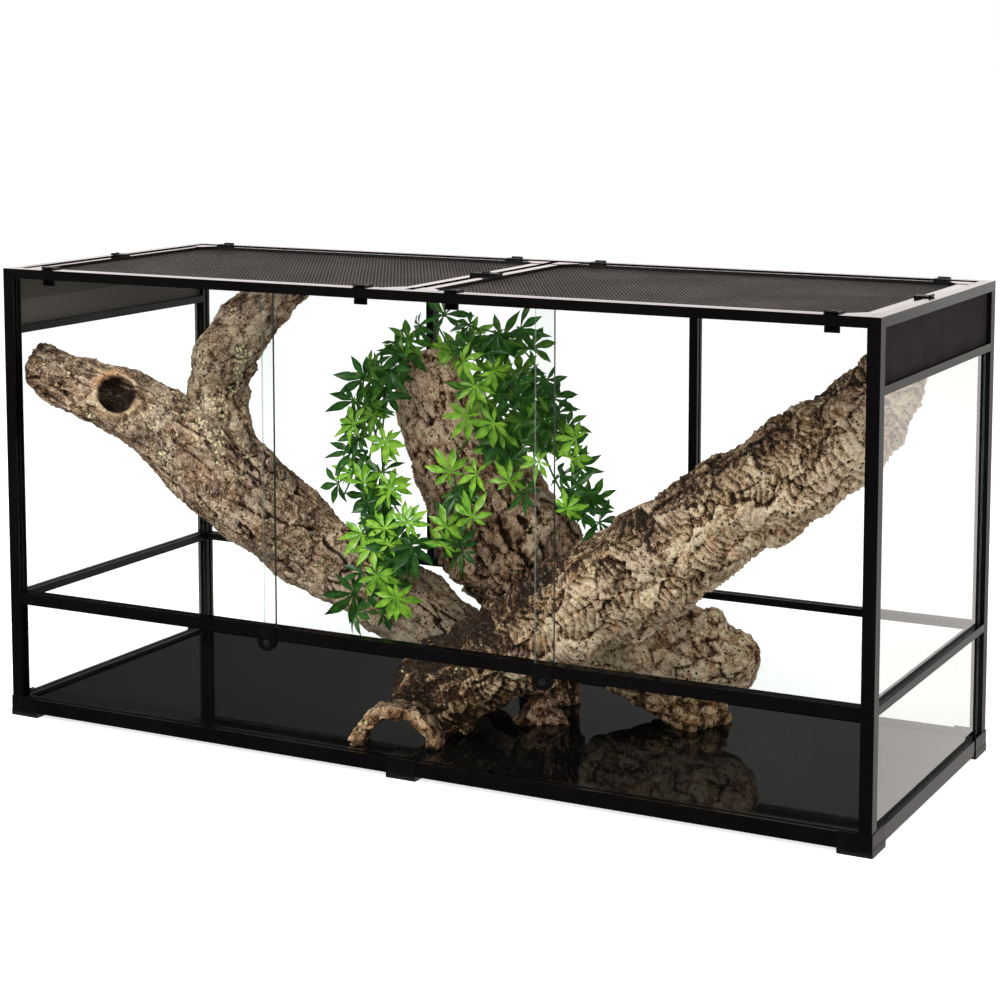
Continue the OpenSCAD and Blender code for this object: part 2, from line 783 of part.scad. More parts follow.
// Half tube that lies on the floor in front of the large log, open at both ends.
module cork_tube() color(bark)
  translate(tube_at) rotate([0, 0, 16]) rotate([90, 0, 0])
    translate([0, 0, -tube_len]) linear_extrude(tube_len) polygon(concat(
      [for (a = [0 : 12 : 180]) (tube_r + 1.6 * sin(7 * a)) * [cos(a), 0.94 * sin(a)]],
      [for (a = [180 : -12 : 0]) (tube_r - tube_wall) * [cos(a), 0.9 * sin(a)]]));

// A loose flat of bark in layers under the short log, and a loose wedge beside it.
module cork_flats() color(bark) {
  for (i = [0 : layers - 1])
    translate(flats_at + [0, 0, i * layer_t]) linear_extrude(layer_t + (i < layers - 1 ? eps : 0))
      polygon([for (a = [0 : 24 : 336])
        [layer_shift * (1.5 - i) + (layer_x * (0.55 + 0.15 * i) + 6 * sin(3 * a + 60 * i)) * cos(a),
         (layer_y * (1 - 0.05 * i) + 5 * sin(4 * a + 80 * i)) * sin(a)]]);
  translate(wedge_at) rotate([0, 0, 35]) rotate([90, 0, 0])
    translate([0, 0, -18]) linear_extrude(36)
      polygon([[-30, 0], [26, 0], [34, 8], [16, 30], [2, 36], [-8, 24]]);
}

// ---------------------------------------------------------------- vines

// Strands as lists of points; leaves sit along them.
strands_left = [
  [[-112, 55, 488], [-134, 10, 498], [-150, -5, 473], [-174, -18, 432], [-179, -30, 382],
   [-181, -40, 336], [-193, -46, 305]],
  [[-112, 55, 488], [-124, 6, 486], [-141, -12, 443], [-142, -28, 378], [-128, -38, 320],
   [-99, -44, 281], [-85, -48, 246]],
  [[-141, -12, 443], [-155, -34, 371], [-155, -48, 306], [-148, -60, 249], [-154, -74, 196], [-148, -78, 168]],
  [[-99, -44, 281], [-112, -54, 244], [-126, -64, 211], [-104, -72, 184], [-80, -76, 176]]];
strands_right = [
  [[-96, 56, 500], [-104, 10, 530], [-85, 8, 545], [-58, 4, 513], [-17, -4, 467], [1, -8, 422],
   [26, -10, 382], [63, -12, 331]],
  [[-96, 56, 500], [-96, 34, 548], [-38, 26, 537], [15, 16, 529], [56, 10, 506], [86, 6, 466],
   [106, 2, 420], [129, -2, 370], [145, -4, 336], [166, -4, 316]],
  [[-58, 4, 513], [-20, 4, 500], [20, -4, 476], [54, -8, 443], [82, -12, 400], [103, -12, 357],
   [124, -12, 322]],
  [[1, -8, 422], [-24, -12, 390], [-40, -12, 357], [-35, -14, 318], [-16, -16, 290], [-27, -18, 258]]];

// A repeatable number from 0 to 1 for leaf i of strand s.
function chance(s, i, k) = let (w = 43.7 * sin(57.3 * (s * 12.99 + i * 78.23 + k * 37.7))) w - floor(w);

function span(p, i) = norm(p[i + 1] - p[i]);
function upto(p, i) = i == 0 ? 0 : upto(p, i - 1) + span(p, i - 1);

// The point at distance d along a strand.
function along(p, d, i = 0) =
  i >= len(p) - 2 || d <= span(p, i)
    ? p[i] + (p[i + 1] - p[i]) * min(1, d / span(p, i))
    : along(p, d - span(p, i), i + 1);

// Hand-shaped leaf with seven fingers, lying in the XY plane.
module leaf(r) {
  linear_extrude(leaf_t) polygon([for (k = [-3 : 3]) each [
    0.24 * r * [cos(44 * k - 22), sin(44 * k - 22)],
    (1 - 0.045 * k * k) * r * [cos(44 * k), sin(44 * k)]], [-0.2 * r, 0]]);
}

module strand(p, s) {
  for (i = [0 : len(p) - 2]) {
    d = p[i + 1] - p[i];
    translate(p[i]) rotate([0, acos(d[2] / norm(d)), atan2(d[1], d[0])])
      translate([0, 0, -0.6]) cylinder(r = stem_r, h = norm(d) + 1.2, $fn = 6);
  }
  count = floor(upto(p, len(p) - 1) / leaf_step);
  for (i = [1 : count]) {
    q = along(p, (i + 0.3 * chance(s, i, 1)) * leaf_step);
    translate(q) rotate([90 + 50 * (chance(s, i, 2) - 0.5), 360 * chance(s, i, 3), 70 * (chance(s, i, 4) - 0.5)])
      leaf(leaf_r * (0.75 + 0.25 * chance(s, i, 5)));
  }
}

module vine_left() color(leaf_green)
  for (s = [0 : len(strands_left) - 1]) strand(strands_left[s], s);

module vine_right() color(leaf_green)
  for (s = [0 : len(strands_right) - 1]) strand(strands_right[s], s + 10);

// ---------------------------------------------------------------- output

base_rail_front();
base_rail_rear();
base_rail_left();
base_rail_right();
post_front_left();
post_front_right();
post_rear_left();
post_rear_right();
rear_post_left();
rear_post_right();
middle_rail_front();
middle_rail_rear();
middle_rail_left();
middle_rail_right();
top_rail_front();
top_rail_rear();
top_rail_left();
top_rail_right();
top_cross_bar();
vent_rail_left();
vent_rail_right();
vent_panel_left();
vent_panel_right();
foot_front_left();
foot_front_right();
foot_rear_left();
foot_rear_right();
foot_clips();
floor_panel();
front_glass();
side_glass_low_left();
side_glass_low_right();
side_glass_left();
side_glass_right();
rear_glass_low();
rear_glass_left();
rear_glass_middle();
rear_glass_right();
door_left();
door_middle();
door_right();
lock_body_left();
lock_body_right();
lock_plug_left();
lock_plug_right();
lid_frame_left();
lid_frame_right();
lid_mesh_left();
lid_mesh_right();
lid_clips_left();
lid_clips_right();
cork_branch();
cork_arm();
cork_upright();
cork_log();
cork_low_log();
cork_tube();
cork_flats();
vine_left();
vine_right();
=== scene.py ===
# %% [markdown]
# # A reptile terrarium
# A glass enclosure with a black frame, sliding front doors and mesh lids. Inside stand
# pieces of raw cork bark with artificial vines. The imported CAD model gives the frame, the
# panes and the fittings, and this script gives them their surfaces. Cork, leaves and mesh
# have shapes that solids hold only roughly, so they are modelled here in their places.

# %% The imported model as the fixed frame
import math
import random

import bpy
import numpy as np
from mathutils import Matrix, Vector


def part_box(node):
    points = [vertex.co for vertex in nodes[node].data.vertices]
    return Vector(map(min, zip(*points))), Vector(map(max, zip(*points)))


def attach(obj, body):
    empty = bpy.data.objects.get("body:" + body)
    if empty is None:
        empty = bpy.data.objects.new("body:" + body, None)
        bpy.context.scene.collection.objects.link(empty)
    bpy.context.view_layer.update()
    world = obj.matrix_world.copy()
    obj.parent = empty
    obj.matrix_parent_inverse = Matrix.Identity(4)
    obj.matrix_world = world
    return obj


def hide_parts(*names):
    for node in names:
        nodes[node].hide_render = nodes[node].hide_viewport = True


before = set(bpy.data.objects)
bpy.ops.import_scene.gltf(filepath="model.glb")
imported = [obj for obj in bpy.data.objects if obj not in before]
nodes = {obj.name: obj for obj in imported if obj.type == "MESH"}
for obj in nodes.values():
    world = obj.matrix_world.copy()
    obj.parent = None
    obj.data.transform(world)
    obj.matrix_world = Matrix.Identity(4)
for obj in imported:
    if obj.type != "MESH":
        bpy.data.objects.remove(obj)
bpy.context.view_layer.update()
MM = 0.001

# %% [markdown]
# ## Colours and nodes
# Colours are written as the hex values that a screen shows. The shaders count in linear
# light, so one function turns them. Another adds a shader node with its settings and links,
# which keeps each material short enough to read.

# %% Helpers for materials
def tone(hexa):
    """An sRGB hex colour as the linear colour that shaders use."""
    parts = [int(hexa[i:i + 2], 16) / 255 for i in (1, 3, 5)]
    return [p / 12.92 if p <= 0.04045 else ((p + 0.055) / 1.055) ** 2.4 for p in parts] + [1.0]


def add(tree, kind, sockets=(), **settings):
    """A new node; sockets is {name or number: value, or what feeds it}. A node that feeds
    another does so from its first output, unless one of its outputs is named."""
    made = tree.nodes.new("ShaderNode" + kind)
    for name, value in settings.items():
        setattr(made, name, value)
    for name, value in dict(sockets).items():
        if isinstance(value, bpy.types.Node):
            value = value.outputs[0]
        if isinstance(value, bpy.types.NodeSocket):
            tree.links.new(value, made.inputs[name])
        else:
            made.inputs[name].default_value = value
    return made


def material(name):
    """An empty node material, its tree and its output node."""
    made = bpy.data.materials.new(name)
    made.use_nodes = True
    made.node_tree.nodes.clear()
    return made, made.node_tree, add(made.node_tree, "OutputMaterial")


def ramp(tree, factor, stops):
    """A colour ramp through [(position, hex colour)]."""
    made = add(tree, "ValToRGB", {"Fac": factor})
    steps = made.color_ramp.elements
    while len(steps) < len(stops):
        steps.new(0.5)
    for step, (place, hexa) in zip(steps, stops):
        step.position, step.color = place, tone(hexa)
    return made


print("middle grey in linear light:", np.round(tone("#808080"), 3))


# %% [markdown]
# ## The black frame
# The rails and posts are extruded aluminium, etched, anodised and dyed black. The dye sits
# in a clear oxide layer, so the surface shines like a lacquer (IOR 1.5, not metallic). The
# etching leaves a fine frost that only the gloss shows. It is near 0.1 mm on the real bar
# and drawn at about 4 mm here, as a change of gloss only, so that it can't flicker. The
# bars at the rear and the left were etched longer, so they are duller.

# %% Anodised aluminium
def anodised_aluminium(name, hexa, dull, gloss=0.5):
    made, tree, out = material(name)
    place = add(tree, "TexCoord").outputs["Object"]
    cloudy = add(tree, "TexNoise", {"Vector": place, "Scale": 14.0, "Detail": 4.0})
    lines = add(tree, "TexNoise", {"Vector": place, "Scale": 260.0, "Detail": 2.0})
    mixed = add(tree, "Math", {0: lines, 1: cloudy}, operation="ADD")
    shine = add(tree, "MapRange", {0: mixed, 1: 0.7, 2: 1.3, 3: dull - 0.03, 4: dull + 0.04})
    deep = tone(hexa)
    worn = [min(1, c * 1.4 + 0.0015) for c in deep[:3]] + [1]
    shade = add(tree, "Mix", {0: cloudy, 6: deep, 7: worn}, data_type="RGBA")
    skin = add(tree, "BsdfPrincipled", {"Base Color": shade.outputs[2], "Roughness": shine,
                                        "Specular IOR Level": gloss})
    tree.links.new(skin.outputs[0], out.inputs["Surface"])
    return made


black_profile = anodised_aluminium("black_anodised_aluminium", "#050404", 0.1, 0.16)
satin_profile = anodised_aluminium("satin_anodised_aluminium", "#070606", 0.36, 0.2)
lid_profile = anodised_aluminium("black_anodised_lid_profile", "#0d0b0b", 0.11)
print("frame finishes:", black_profile.name, satin_profile.name, lid_profile.name)

# %% [markdown]
# ## Moulded plastic
# The feet, the clips and the lock bodies are injection-moulded ABS. The mould was spark
# eroded, which gives a fine even grain of about 0.2 mm. The grain scatters the gloss, and
# is drawn at 0.6 mm.

# %% Black ABS
def moulded_abs(name, hexa):
    made, tree, out = material(name)
    place = add(tree, "TexCoord").outputs["Object"]
    grain = add(tree, "TexNoise", {"Vector": place, "Scale": 1600.0, "Detail": 2.0})
    wear = add(tree, "TexNoise", {"Vector": place, "Scale": 60.0, "Detail": 3.0})
    shade = add(tree, "Mix", {0: wear, 6: tone(hexa), 7: tone("#0b0a0a")}, data_type="RGBA")
    shine = add(tree, "MapRange", {0: wear, 1: 0.3, 2: 0.7, 3: 0.3, 4: 0.42})
    skin = add(tree, "BsdfPrincipled", {"Base Color": shade.outputs[2], "Roughness": shine,
                                        "Specular IOR Level": 0.25})
    relief = add(tree, "Bump", {"Strength": 0.15, "Distance": 0.0001, "Height": grain})
    tree.links.new(relief.outputs[0], skin.inputs["Normal"])
    tree.links.new(skin.outputs[0], out.inputs["Surface"])
    return made


black_abs = moulded_abs("black_abs", "#040404")
print("moulded pieces:", black_abs.name)

# %% [markdown]
# ## Sheet for the side vents
# The vents are folded steel sheet with rows of small holes, powder coated matt black. The
# holes are 1.2 mm at a 2.5 mm pitch on the real sheet. Seen from outside they read as a
# fine dark texture, so they are a dot pattern in the colour. The faces that look into the
# room are lighter, and darker above a set height than below it.

# %% Perforated powder-coated steel
HOLE_PITCH = 2.5
# The height above which the faces that look into the room are darker.
VENT_SPLIT_Z = 565.0


def perforated_sheet(name):
    made, tree, out = material(name)
    where = add(tree, "TexCoord")
    place = where.outputs["Object"]
    split = add(tree, "SeparateXYZ", {0: place})
    waves = []
    for axis in ("Y", "Z"):
        turn = add(tree, "Math", {0: split.outputs[axis], 1: 2 * math.pi / (HOLE_PITCH * MM)},
                   operation="MULTIPLY")
        waves.append(add(tree, "Math", {0: turn}, operation="COSINE"))
    both = add(tree, "Math", {0: waves[0], 1: waves[1]}, operation="ADD")
    hole = add(tree, "MapRange", {0: both, 1: 0.5, 2: 1.1, 3: 0.0, 4: 0.6})
    cloudy = add(tree, "TexNoise", {"Vector": place, "Scale": 30.0, "Detail": 5.0})
    coat = ramp(tree, cloudy, [(0.3, "#211e1d"), (0.7, "#2c2827")])
    # A face whose direction and place have opposite signs along X looks into the room.
    looks = add(tree, "SeparateXYZ", {0: where.outputs["Normal"]})
    inward = add(tree, "Math", {0: looks.outputs["X"], 1: split.outputs["X"]}, operation="MULTIPLY")
    inward = add(tree, "Math", {0: inward, 1: 0.0}, operation="LESS_THAN")
    # The faces that look into the room are lighter below the split height and darker above it.
    fold = add(tree, "Math", {0: split.outputs["Z"], 1: VENT_SPLIT_Z * MM}, operation="LESS_THAN")
    inner_tone = add(tree, "Mix", {0: fold, 6: tone("#5d5853"), 7: tone("#6d6862")}, data_type="RGBA")
    coat = add(tree, "Mix", {0: inward, 6: coat, 7: inner_tone.outputs[2]}, data_type="RGBA")
    shade = add(tree, "Mix", {0: hole, 6: coat.outputs[2], 7: tone("#12100f")}, data_type="RGBA")
    skin = add(tree, "BsdfPrincipled", {"Base Color": shade.outputs[2], "Roughness": 0.85,
                                        "Specular IOR Level": 0.12})
    tree.links.new(skin.outputs[0], out.inputs["Surface"])
    return made


vent_sheet = perforated_sheet("powder_coated_vent_sheet")
print("vents:", vent_sheet.name)

# %% [markdown]
# ## Glass
# The panes are 4 mm float glass. Light that bends in and out of a flat pane goes on in its
# old direction, so a see-through shader with a mirror on top looks the same as real glass
# and lets the lamps reach the cork. Only the face that the ray meets first reflects, and it
# does so for both faces of the pane. A ground edge looks dark from outside, since its light
# is caught in the pane, and pale from within, where it scatters. The shader finds edges by
# the direction that a face looks in.

# %% Float glass, for panes that face along X or along Y
# A pane's two faces together reflect nearly twice as much as one.
TWO_FACES = 1.9


def float_glass(name, across):
    made, tree, out = material(name)
    facing = add(tree, "NewGeometry")
    clear = add(tree, "BsdfTransparent", {"Color": (0.985, 0.995, 0.99, 1)})
    mirror = add(tree, "BsdfGlossy", {"Color": (1, 1, 1, 1), "Roughness": 0.0})
    bend = add(tree, "Fresnel", {"IOR": 1.5})
    outer = add(tree, "Math", {0: 1.0, 1: facing.outputs["Backfacing"]}, operation="SUBTRACT")
    share = add(tree, "Math", {0: bend, 1: outer}, operation="MULTIPLY")
    twice = add(tree, "Math", {0: share, 1: TWO_FACES}, operation="MULTIPLY", use_clamp=True)
    pane = add(tree, "MixShader", {0: twice, 1: clear, 2: mirror})
    turned = add(tree, "SeparateXYZ", {0: add(tree, "TexCoord").outputs["Normal"]})
    flat = add(tree, "Math", {0: turned.outputs[across]}, operation="ABSOLUTE")
    edge = add(tree, "Math", {0: flat, 1: 0.5}, operation="LESS_THAN")
    ground = add(tree, "BsdfPrincipled", {"Base Color": tone("#1d2321"), "Roughness": 0.4})
    haze = add(tree, "BsdfDiffuse", {"Color": tone("#b4bcb6")})
    through = add(tree, "BsdfTransparent", {"Color": (0.8, 0.84, 0.81, 1)})
    within = add(tree, "MixShader", {0: 0.7, 1: haze, 2: through})
    rim = add(tree, "MixShader", {0: facing.outputs["Backfacing"], 1: ground, 2: within})
    whole = add(tree, "MixShader", {0: edge, 1: pane, 2: rim})
    tree.links.new(whole.outputs[0], out.inputs["Surface"])
    return made


glass_long = float_glass("float_glass_front_and_rear", "Y")
glass_side = float_glass("float_glass_sides", "X")
print("glass:", glass_long.name, glass_side.name)

# %% [markdown]
# ## Floor panel
# The floor is a black panel with a polished face. It mirrors the bark that stands on it,
# more strongly the flatter one looks along it, as any polished black surface does. Wiping
# leaves broad faint smears, which vary the gloss.

# %% Polished black panel
def polished_panel(name):
    made, tree, out = material(name)
    place = add(tree, "TexCoord").outputs["Object"]
    smear = add(tree, "TexNoise", {"Vector": place, "Scale": 5.0, "Detail": 4.0, "Distortion": 1.2})
    shade = ramp(tree, smear, [(0.35, "#070707"), (0.7, "#0d0e0d")])
    shine = add(tree, "MapRange", {0: smear, 1: 0.3, 2: 0.7, 3: 0.015, 4: 0.045})
    skin = add(tree, "BsdfPrincipled", {"Base Color": shade, "Roughness": shine, "IOR": 1.23})
    tree.links.new(skin.outputs[0], out.inputs["Surface"])
    return made


floor_finish = polished_panel("polished_black_panel")
print("floor:", floor_finish.name)

# %% [markdown]
# ## Chromed lock plug
# The plug that the key turns is zinc, die cast and chrome plated. It is the one bright
# metal on the front, so its gloss has a little unevenness from handling.

# %% Chrome
def chrome_plate(name):
    made, tree, out = material(name)
    place = add(tree, "TexCoord").outputs["Object"]
    touch = add(tree, "TexNoise", {"Vector": place, "Scale": 900.0, "Detail": 3.0})
    shine = add(tree, "MapRange", {0: touch, 1: 0.3, 2: 0.7, 3: 0.2, 4: 0.32})
    skin = add(tree, "BsdfPrincipled", {"Base Color": tone("#c9cace"), "Metallic": 1.0, "Roughness": shine})
    tree.links.new(skin.outputs[0], out.inputs["Surface"])
    return made


chrome = chrome_plate("chrome_plated_zinc")
print("lock plugs:", chrome.name)

# %% [markdown]
# The CAD pieces keep their shapes. Each gets the finish that its name calls for, and the
# first word that fits decides.

# %% Finishes for the CAD pieces
FINISHES = (
    ("vent_panel", vent_sheet), ("side_glass", glass_side), ("glass", glass_long),
    ("door_", glass_long), ("lock_plug", chrome), ("foot", black_abs), ("lock_body", black_abs),
    ("lid_clips", black_abs), ("floor_panel", floor_finish), ("lid_frame", lid_profile),
    ("top_", black_profile), ("rear", satin_profile), ("post_front", black_profile),
    ("_left", satin_profile), ("", black_profile))

for name, piece in nodes.items():
    finish = next(f for words, f in FINISHES if words in name)
    piece.data.materials.clear()
    piece.data.materials.append(finish)
print("dressed", len(nodes), "CAD pieces")

# %% [markdown]
# ## Noise for the bark
# Bark is rough at every size, from hand-wide swellings to pores. Gradient noise gives such
# relief: random slopes at the corners of a grid, blended smoothly between them. Cell noise
# gives the plates that cork cracks into: each point belongs to the nearest of many seeds, and
# the second nearest is hardly further along the cracks. The plates tilt, so one lies over
# the next. Both work on whole arrays, so a log of a hundred thousand points takes seconds.

# %% Gradient noise and cell noise
slopes = np.random.default_rng(7).normal(size=(1024, 3))
slopes /= np.linalg.norm(slopes, axis=1)[:, None]
scatter = np.random.default_rng(11).random((1024, 3))
# Large odd numbers, which mix a cell's numbers and a seed well.
CELL_MIX, SEED_MIX, LAST_MIX = (73856093, 19349663, 83492791), 2654435761, 668265263
# Shares of a plate's size: how far its border wanders, and how wide its cracks are.
WARP, CRACK = 0.14, 0.075


def pick(cell, seed):
    """A repeatable number from 0 to 1023 for each grid cell."""
    x, y, z = (cell * CELL_MIX).T
    mixed = x ^ y ^ z ^ (seed * SEED_MIX)
    return (mixed ^ mixed >> 11) * LAST_MIX >> 7 & 1023


def rough(points, size, seed=0, octaves=1):
    """Gradient noise from about -1 to 1 with features of that size, in octaves."""
    total = np.zeros(len(points))
    for octave in range(octaves):
        p = points / size * 2 ** octave
        low = np.floor(p).astype(np.int64)
        f = p - low
        w = f * f * f * (f * (f * 6 - 15) + 10)
        for corner in np.ndindex(2, 2, 2):
            corner = np.array(corner)
            slope = slopes[pick(low + corner, seed + octave)]
            weight = np.prod(np.where(corner, w, 1 - w), axis=1)
            total += weight * np.sum(slope * (f - corner), axis=1) / 2 ** octave
    return total * 1.6


def plates(points, size, seed):
    """Each point's offset from its nearest seed, that seed's number, and how much further
    the second nearest is; lengths are shares of size."""
    p = points / size
    low = np.floor(p).astype(np.int64)
    first, second = np.full(len(p), 9.0), np.full(len(p), 9.0)
    own, offset = np.zeros(len(p), np.int64), np.zeros((len(p), 3))
    for step in np.ndindex(3, 3, 3):
        cell = low + np.array(step) - 1
        number = pick(cell, seed)
        gap = p - cell - scatter[number]
        far = np.linalg.norm(gap, axis=1)
        second = np.minimum(second, np.maximum(first, far))
        own = np.where(far < first, number, own)
        offset = np.where((far < first)[:, None], gap, offset)
        first = np.minimum(first, far)
    return offset, own, second - first


def shingles(points, size, seed):
    """Plates with ragged borders that each tilt their own way: heights as shares of size,
    1 along the cracks between them, and a number from 0 to 1 for each plate."""
    drift = np.column_stack([rough(points, size * 0.45, seed + k, 2) for k in range(3)])
    offset, own, edge = plates(points + size * WARP * drift, size, seed)
    return np.sum(offset * slopes[own], axis=1), np.exp(-(edge / CRACK) ** 2), scatter[own, 0]


def step_up(x, low, high):
    """0 below low, 1 above high and a smooth rise between."""
    t = np.clip((x - low) / (high - low), 0, 1)
    return t * t * (3 - 2 * t)


print("noise sample:", np.round(rough(np.array([[1.0, 2.0, 3.0]]), 5), 3))

# %% [markdown]
# ## Cork bark: the logs
# Each log follows a centre line of points with a radius, the same line that its solid
# follows. Rings of points go round the line, about 2 mm apart, and each point is moved in
# or out by the relief. The coordinates for the noise run along and round the log, so that
# long furrows follow it and wrinkles cross it. The relief is kept as an attribute, because
# the material paints shade on what lies deep and paints light on what sticks out.

# %% Lines, rings and a log's mesh
# The cork stays this far over the floor panel, under the lids' mesh, and inside the panel's
# edges.
FLOOR_GAP, MESH_GAP, EDGE_GAP = 0.3, 2.5, 1
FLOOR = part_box("floor_panel")[1].z / MM
SEAT = FLOOR + FLOOR_GAP
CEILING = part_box("lid_mesh_left")[0].z / MM - MESH_GAP
ROOM = np.array([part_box("floor_panel")[1].x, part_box("floor_panel")[1].y]) / MM - EDGE_GAP
# Steps between two chosen points of a line, and stations of the solid's relief between them.
STEPS, STATIONS = 30, 3
print("room: floor", round(FLOOR, 2), "ceiling", round(CEILING, 2), "half sizes", ROOM)


def smooth_line(points, steps):
    """Catmull-Rom curve through points of any width."""
    p = np.array(points, float)
    q = np.vstack([p[0], p, p[-1]])
    t = np.arange(steps)[:, None] / steps
    parts = [0.5 * (2 * b + (c - a) * t + (2 * a - 5 * b + 4 * c - d) * t ** 2
                    + (3 * b - a - 3 * c + d) * t ** 3)
             for a, b, c, d in zip(q, q[1:], q[2:], q[3:])]
    return np.vstack(parts + [p[-1]])


def cad_relief(angle, station):
    """The swellings that the solid has too, at the same angles and stations."""
    wave = np.sin(3 * angle + np.radians(47) * station)
    wave += 0.7 * np.sin(5 * angle - np.radians(83) * station)
    return 1 + 0.05 * (wave + 0.6 * np.sin(2 * angle + np.radians(131) * station))


def rings(line, flat, pitch, extra):
    """Grids of a log's places, outward directions and angles, and for each ring its length
    along the log, its middle with the radius, and its direction."""
    fine = smooth_line(line, STEPS)
    gone = np.concatenate([[0], np.cumsum(np.linalg.norm(np.diff(fine[:, :3], axis=0), axis=1))])
    count = int(gone[-1] / pitch[0])
    at = np.linspace(0, gone[-1], count)
    station = np.interp(at, gone, np.arange(len(fine)) * STATIONS / STEPS) - STATIONS * extra
    mid = np.column_stack([np.interp(at, gone, fine[:, k]) for k in range(4)])
    ahead = np.gradient(mid[:, :3], axis=0)
    ahead /= np.linalg.norm(ahead, axis=1)[:, None]
    back = np.array([0, 1, 0]) - ahead[:, 1:2] * ahead
    back /= np.linalg.norm(back, axis=1)[:, None]
    side = np.cross(back, ahead)
    around = int(2 * math.pi * mid[:, 3].max() * (1 + flat) / 2 / pitch[1])
    angle = np.linspace(0, 2 * math.pi, around, endpoint=False)[None, :]
    out = side[:, None] * np.cos(angle)[..., None] + back[:, None] * (flat * np.sin(angle))[..., None]
    radius = mid[:, 3:4] * cad_relief(angle, station[:, None])
    places = mid[:, None, :3] + out * radius[..., None]
    out /= np.linalg.norm(out, axis=2)[..., None]
    return places, out, np.broadcast_to(angle, radius.shape), at, mid, ahead


def standing_out(height, reach=4):
    """How far each point of a grid stands out from the points within a few steps of it."""
    count = 2 * reach + 1
    wide = sum(np.roll(height, k, axis=1) for k in range(-reach, reach + 1)) / count
    long = np.pad(wide, ((reach, reach), (0, 0)), mode="edge")
    return height - sum(long[k:k + len(height)] for k in range(count)) / count


# The broken ends sink in rings of these shares of the rim, and show cork that is mostly warm.
END_RINGS = (0.93, 0.84, 0.72, 0.56, 0.38, 0.2)
END_TINT = (0.8, 0.2, 0.3)


def log_mesh(name, line, relief, bowl, flat=1.0, low=SEAT, pitch=(2.3, 2.3), extra=0):
    """A log with broken ends, which sink in by the two depths in bowl. relief(straight
    points, angles, places) gives heights and tints, and extra counts the points that the
    line has before the solid's first one."""
    places, out, angle, at, mid, ahead = rings(line, flat, pitch, extra)
    n, m = angle.shape
    r = mid[:, 3:4]
    straight = np.stack([np.cos(angle) * r, np.sin(angle) * r, np.broadcast_to(at[:, None], (n, m))], axis=2)
    height, tint = relief(straight.reshape(-1, 3), angle.ravel(), places.reshape(-1, 3))
    skin = places.reshape(-1, 3) + out.reshape(-1, 3) * height[:, None]
    # Painted shade: points lower than those round them and low points darken, and what stands
    # out gets painted light. The fourth tint number adds more painted shade and light, and the
    # plates' own tone.
    shown = 1.05 * standing_out(height.reshape(n, m)).ravel() + 0.35 * height - 4.0 * tint[:, 3]
    verts, tints, deep = [skin], [tint[:, :3]], [shown]
    faces = [(i * m + k, i * m + (k + 1) % m, (i + 1) * m + (k + 1) % m, (i + 1) * m + k)
             for i in range(n - 1) for k in range(m)]
    start = n * m
    # Each end is a hollow of shrinking rings, torn deeper towards its middle, with painted shade inside.
    for end, first, sign, depth in ((0, 0, -1, bowl[0]), (n - 1, (n - 1) * m, 1, bowl[1])):
        rim = skin[first:first + m]
        centre = rim.mean(axis=0)
        last = np.arange(first, first + m)
        for k, share in enumerate(END_RINGS):
            ring = centre + (rim - centre) * share
            torn = rough(ring, 9, 31 + end, 3) * (5 if share > 0.5 else 3)
            inward = depth * step_up(1 - share, 0.0, 0.45) - torn
            ring = ring - sign * ahead[end] * inward[:, None]
            now = np.arange(start, start + m)
            start += m
            verts.append(ring)
            tints.append(np.tile(END_TINT, (m, 1)))
            # The inner rings and the end's middle get painted shade, the deeper ones more.
            deep.append(-np.full(m, 1.0 + 2.5 * (k > 1)) + rough(ring, 4, 5, 2) * 2)
            for j in range(m):
                quad = (last[j], last[(j + 1) % m], now[(j + 1) % m], now[j])
                faces.append(quad if sign > 0 else quad[::-1])
            last = now
        verts.append((centre - sign * ahead[end] * depth)[None])
        tints.append(np.array([END_TINT]))
        deep.append(np.array([-4.0]))
        for j in range(m):
            tri = (last[j], last[(j + 1) % m], start)
            faces.append(tri if sign > 0 else tri[::-1])
        start += 1
    return bark_piece(name, np.vstack(verts), faces, np.concatenate(deep), np.vstack(tints), low)


# %% [markdown]
# A piece of bark is one mesh in millimetres turned to metres. What would reach through the
# floor panel, the panes or the lids is pressed flat, because the cork was sawn to fit in.
# Four numbers go with each point: its depth, and how warm, pale and freshly broken it is.
# Depth carries painted shade in hollows and painted light on ridges, and on some pieces
# paleness carries painted light and shade too.

# %% From arrays to a piece of bark
def new_mesh(name, verts, faces, smooth=True, **numbers):
    """A mesh from places in mm. Each of the numbers is a value per point, for a material."""
    data = bpy.data.meshes.new(name)
    data.from_pydata((np.array(verts) * MM).tolist(), [], faces)
    data.polygons.foreach_set("use_smooth", [smooth] * len(data.polygons))
    for word, values in numbers.items():
        values = np.array(values, np.float32)
        data.attributes.new(word, "FLOAT", "POINT").data.foreach_set("value", values)
    made = bpy.data.objects.new(name, data)
    bpy.context.scene.collection.objects.link(made)
    return made


def bark_piece(name, verts, faces, deep, tint, low=SEAT):
    """A piece of bark that stays inside its room."""
    made = new_mesh(name, np.clip(verts, [*-ROOM, low], [*ROOM, CEILING]), faces,
                    depth=deep, warm=tint[:, 0], pale=tint[:, 1], broken=tint[:, 2])
    made.data.materials.append(raw_cork)
    print(name, len(verts), "points, depth", np.round([deep.min(), deep.max()], 1), "mm")
    return made


# %% [markdown]
# ## Raw cork
# Cork oak bark is a soft brown foam of dead cells under a weathered grey crust. The crust
# is matt, cracked into plates and pitted with pores, and where it broke off the fresh cork
# shows ochre to rust. Depth drives the main colour; it carries painted shade in hollows and
# painted light on what sticks out. A noise of 2 mm adds the grains, cells of 6 mm the flakes,
# and dots of about 3 mm the pores. Lichen leaves pale yellow specks, most of them where the
# branch forks and rain ran down.

# %% The bark's material
# The fork of the branch, in metres.
FORK_AT = (-0.37, -0.09, 0.42)


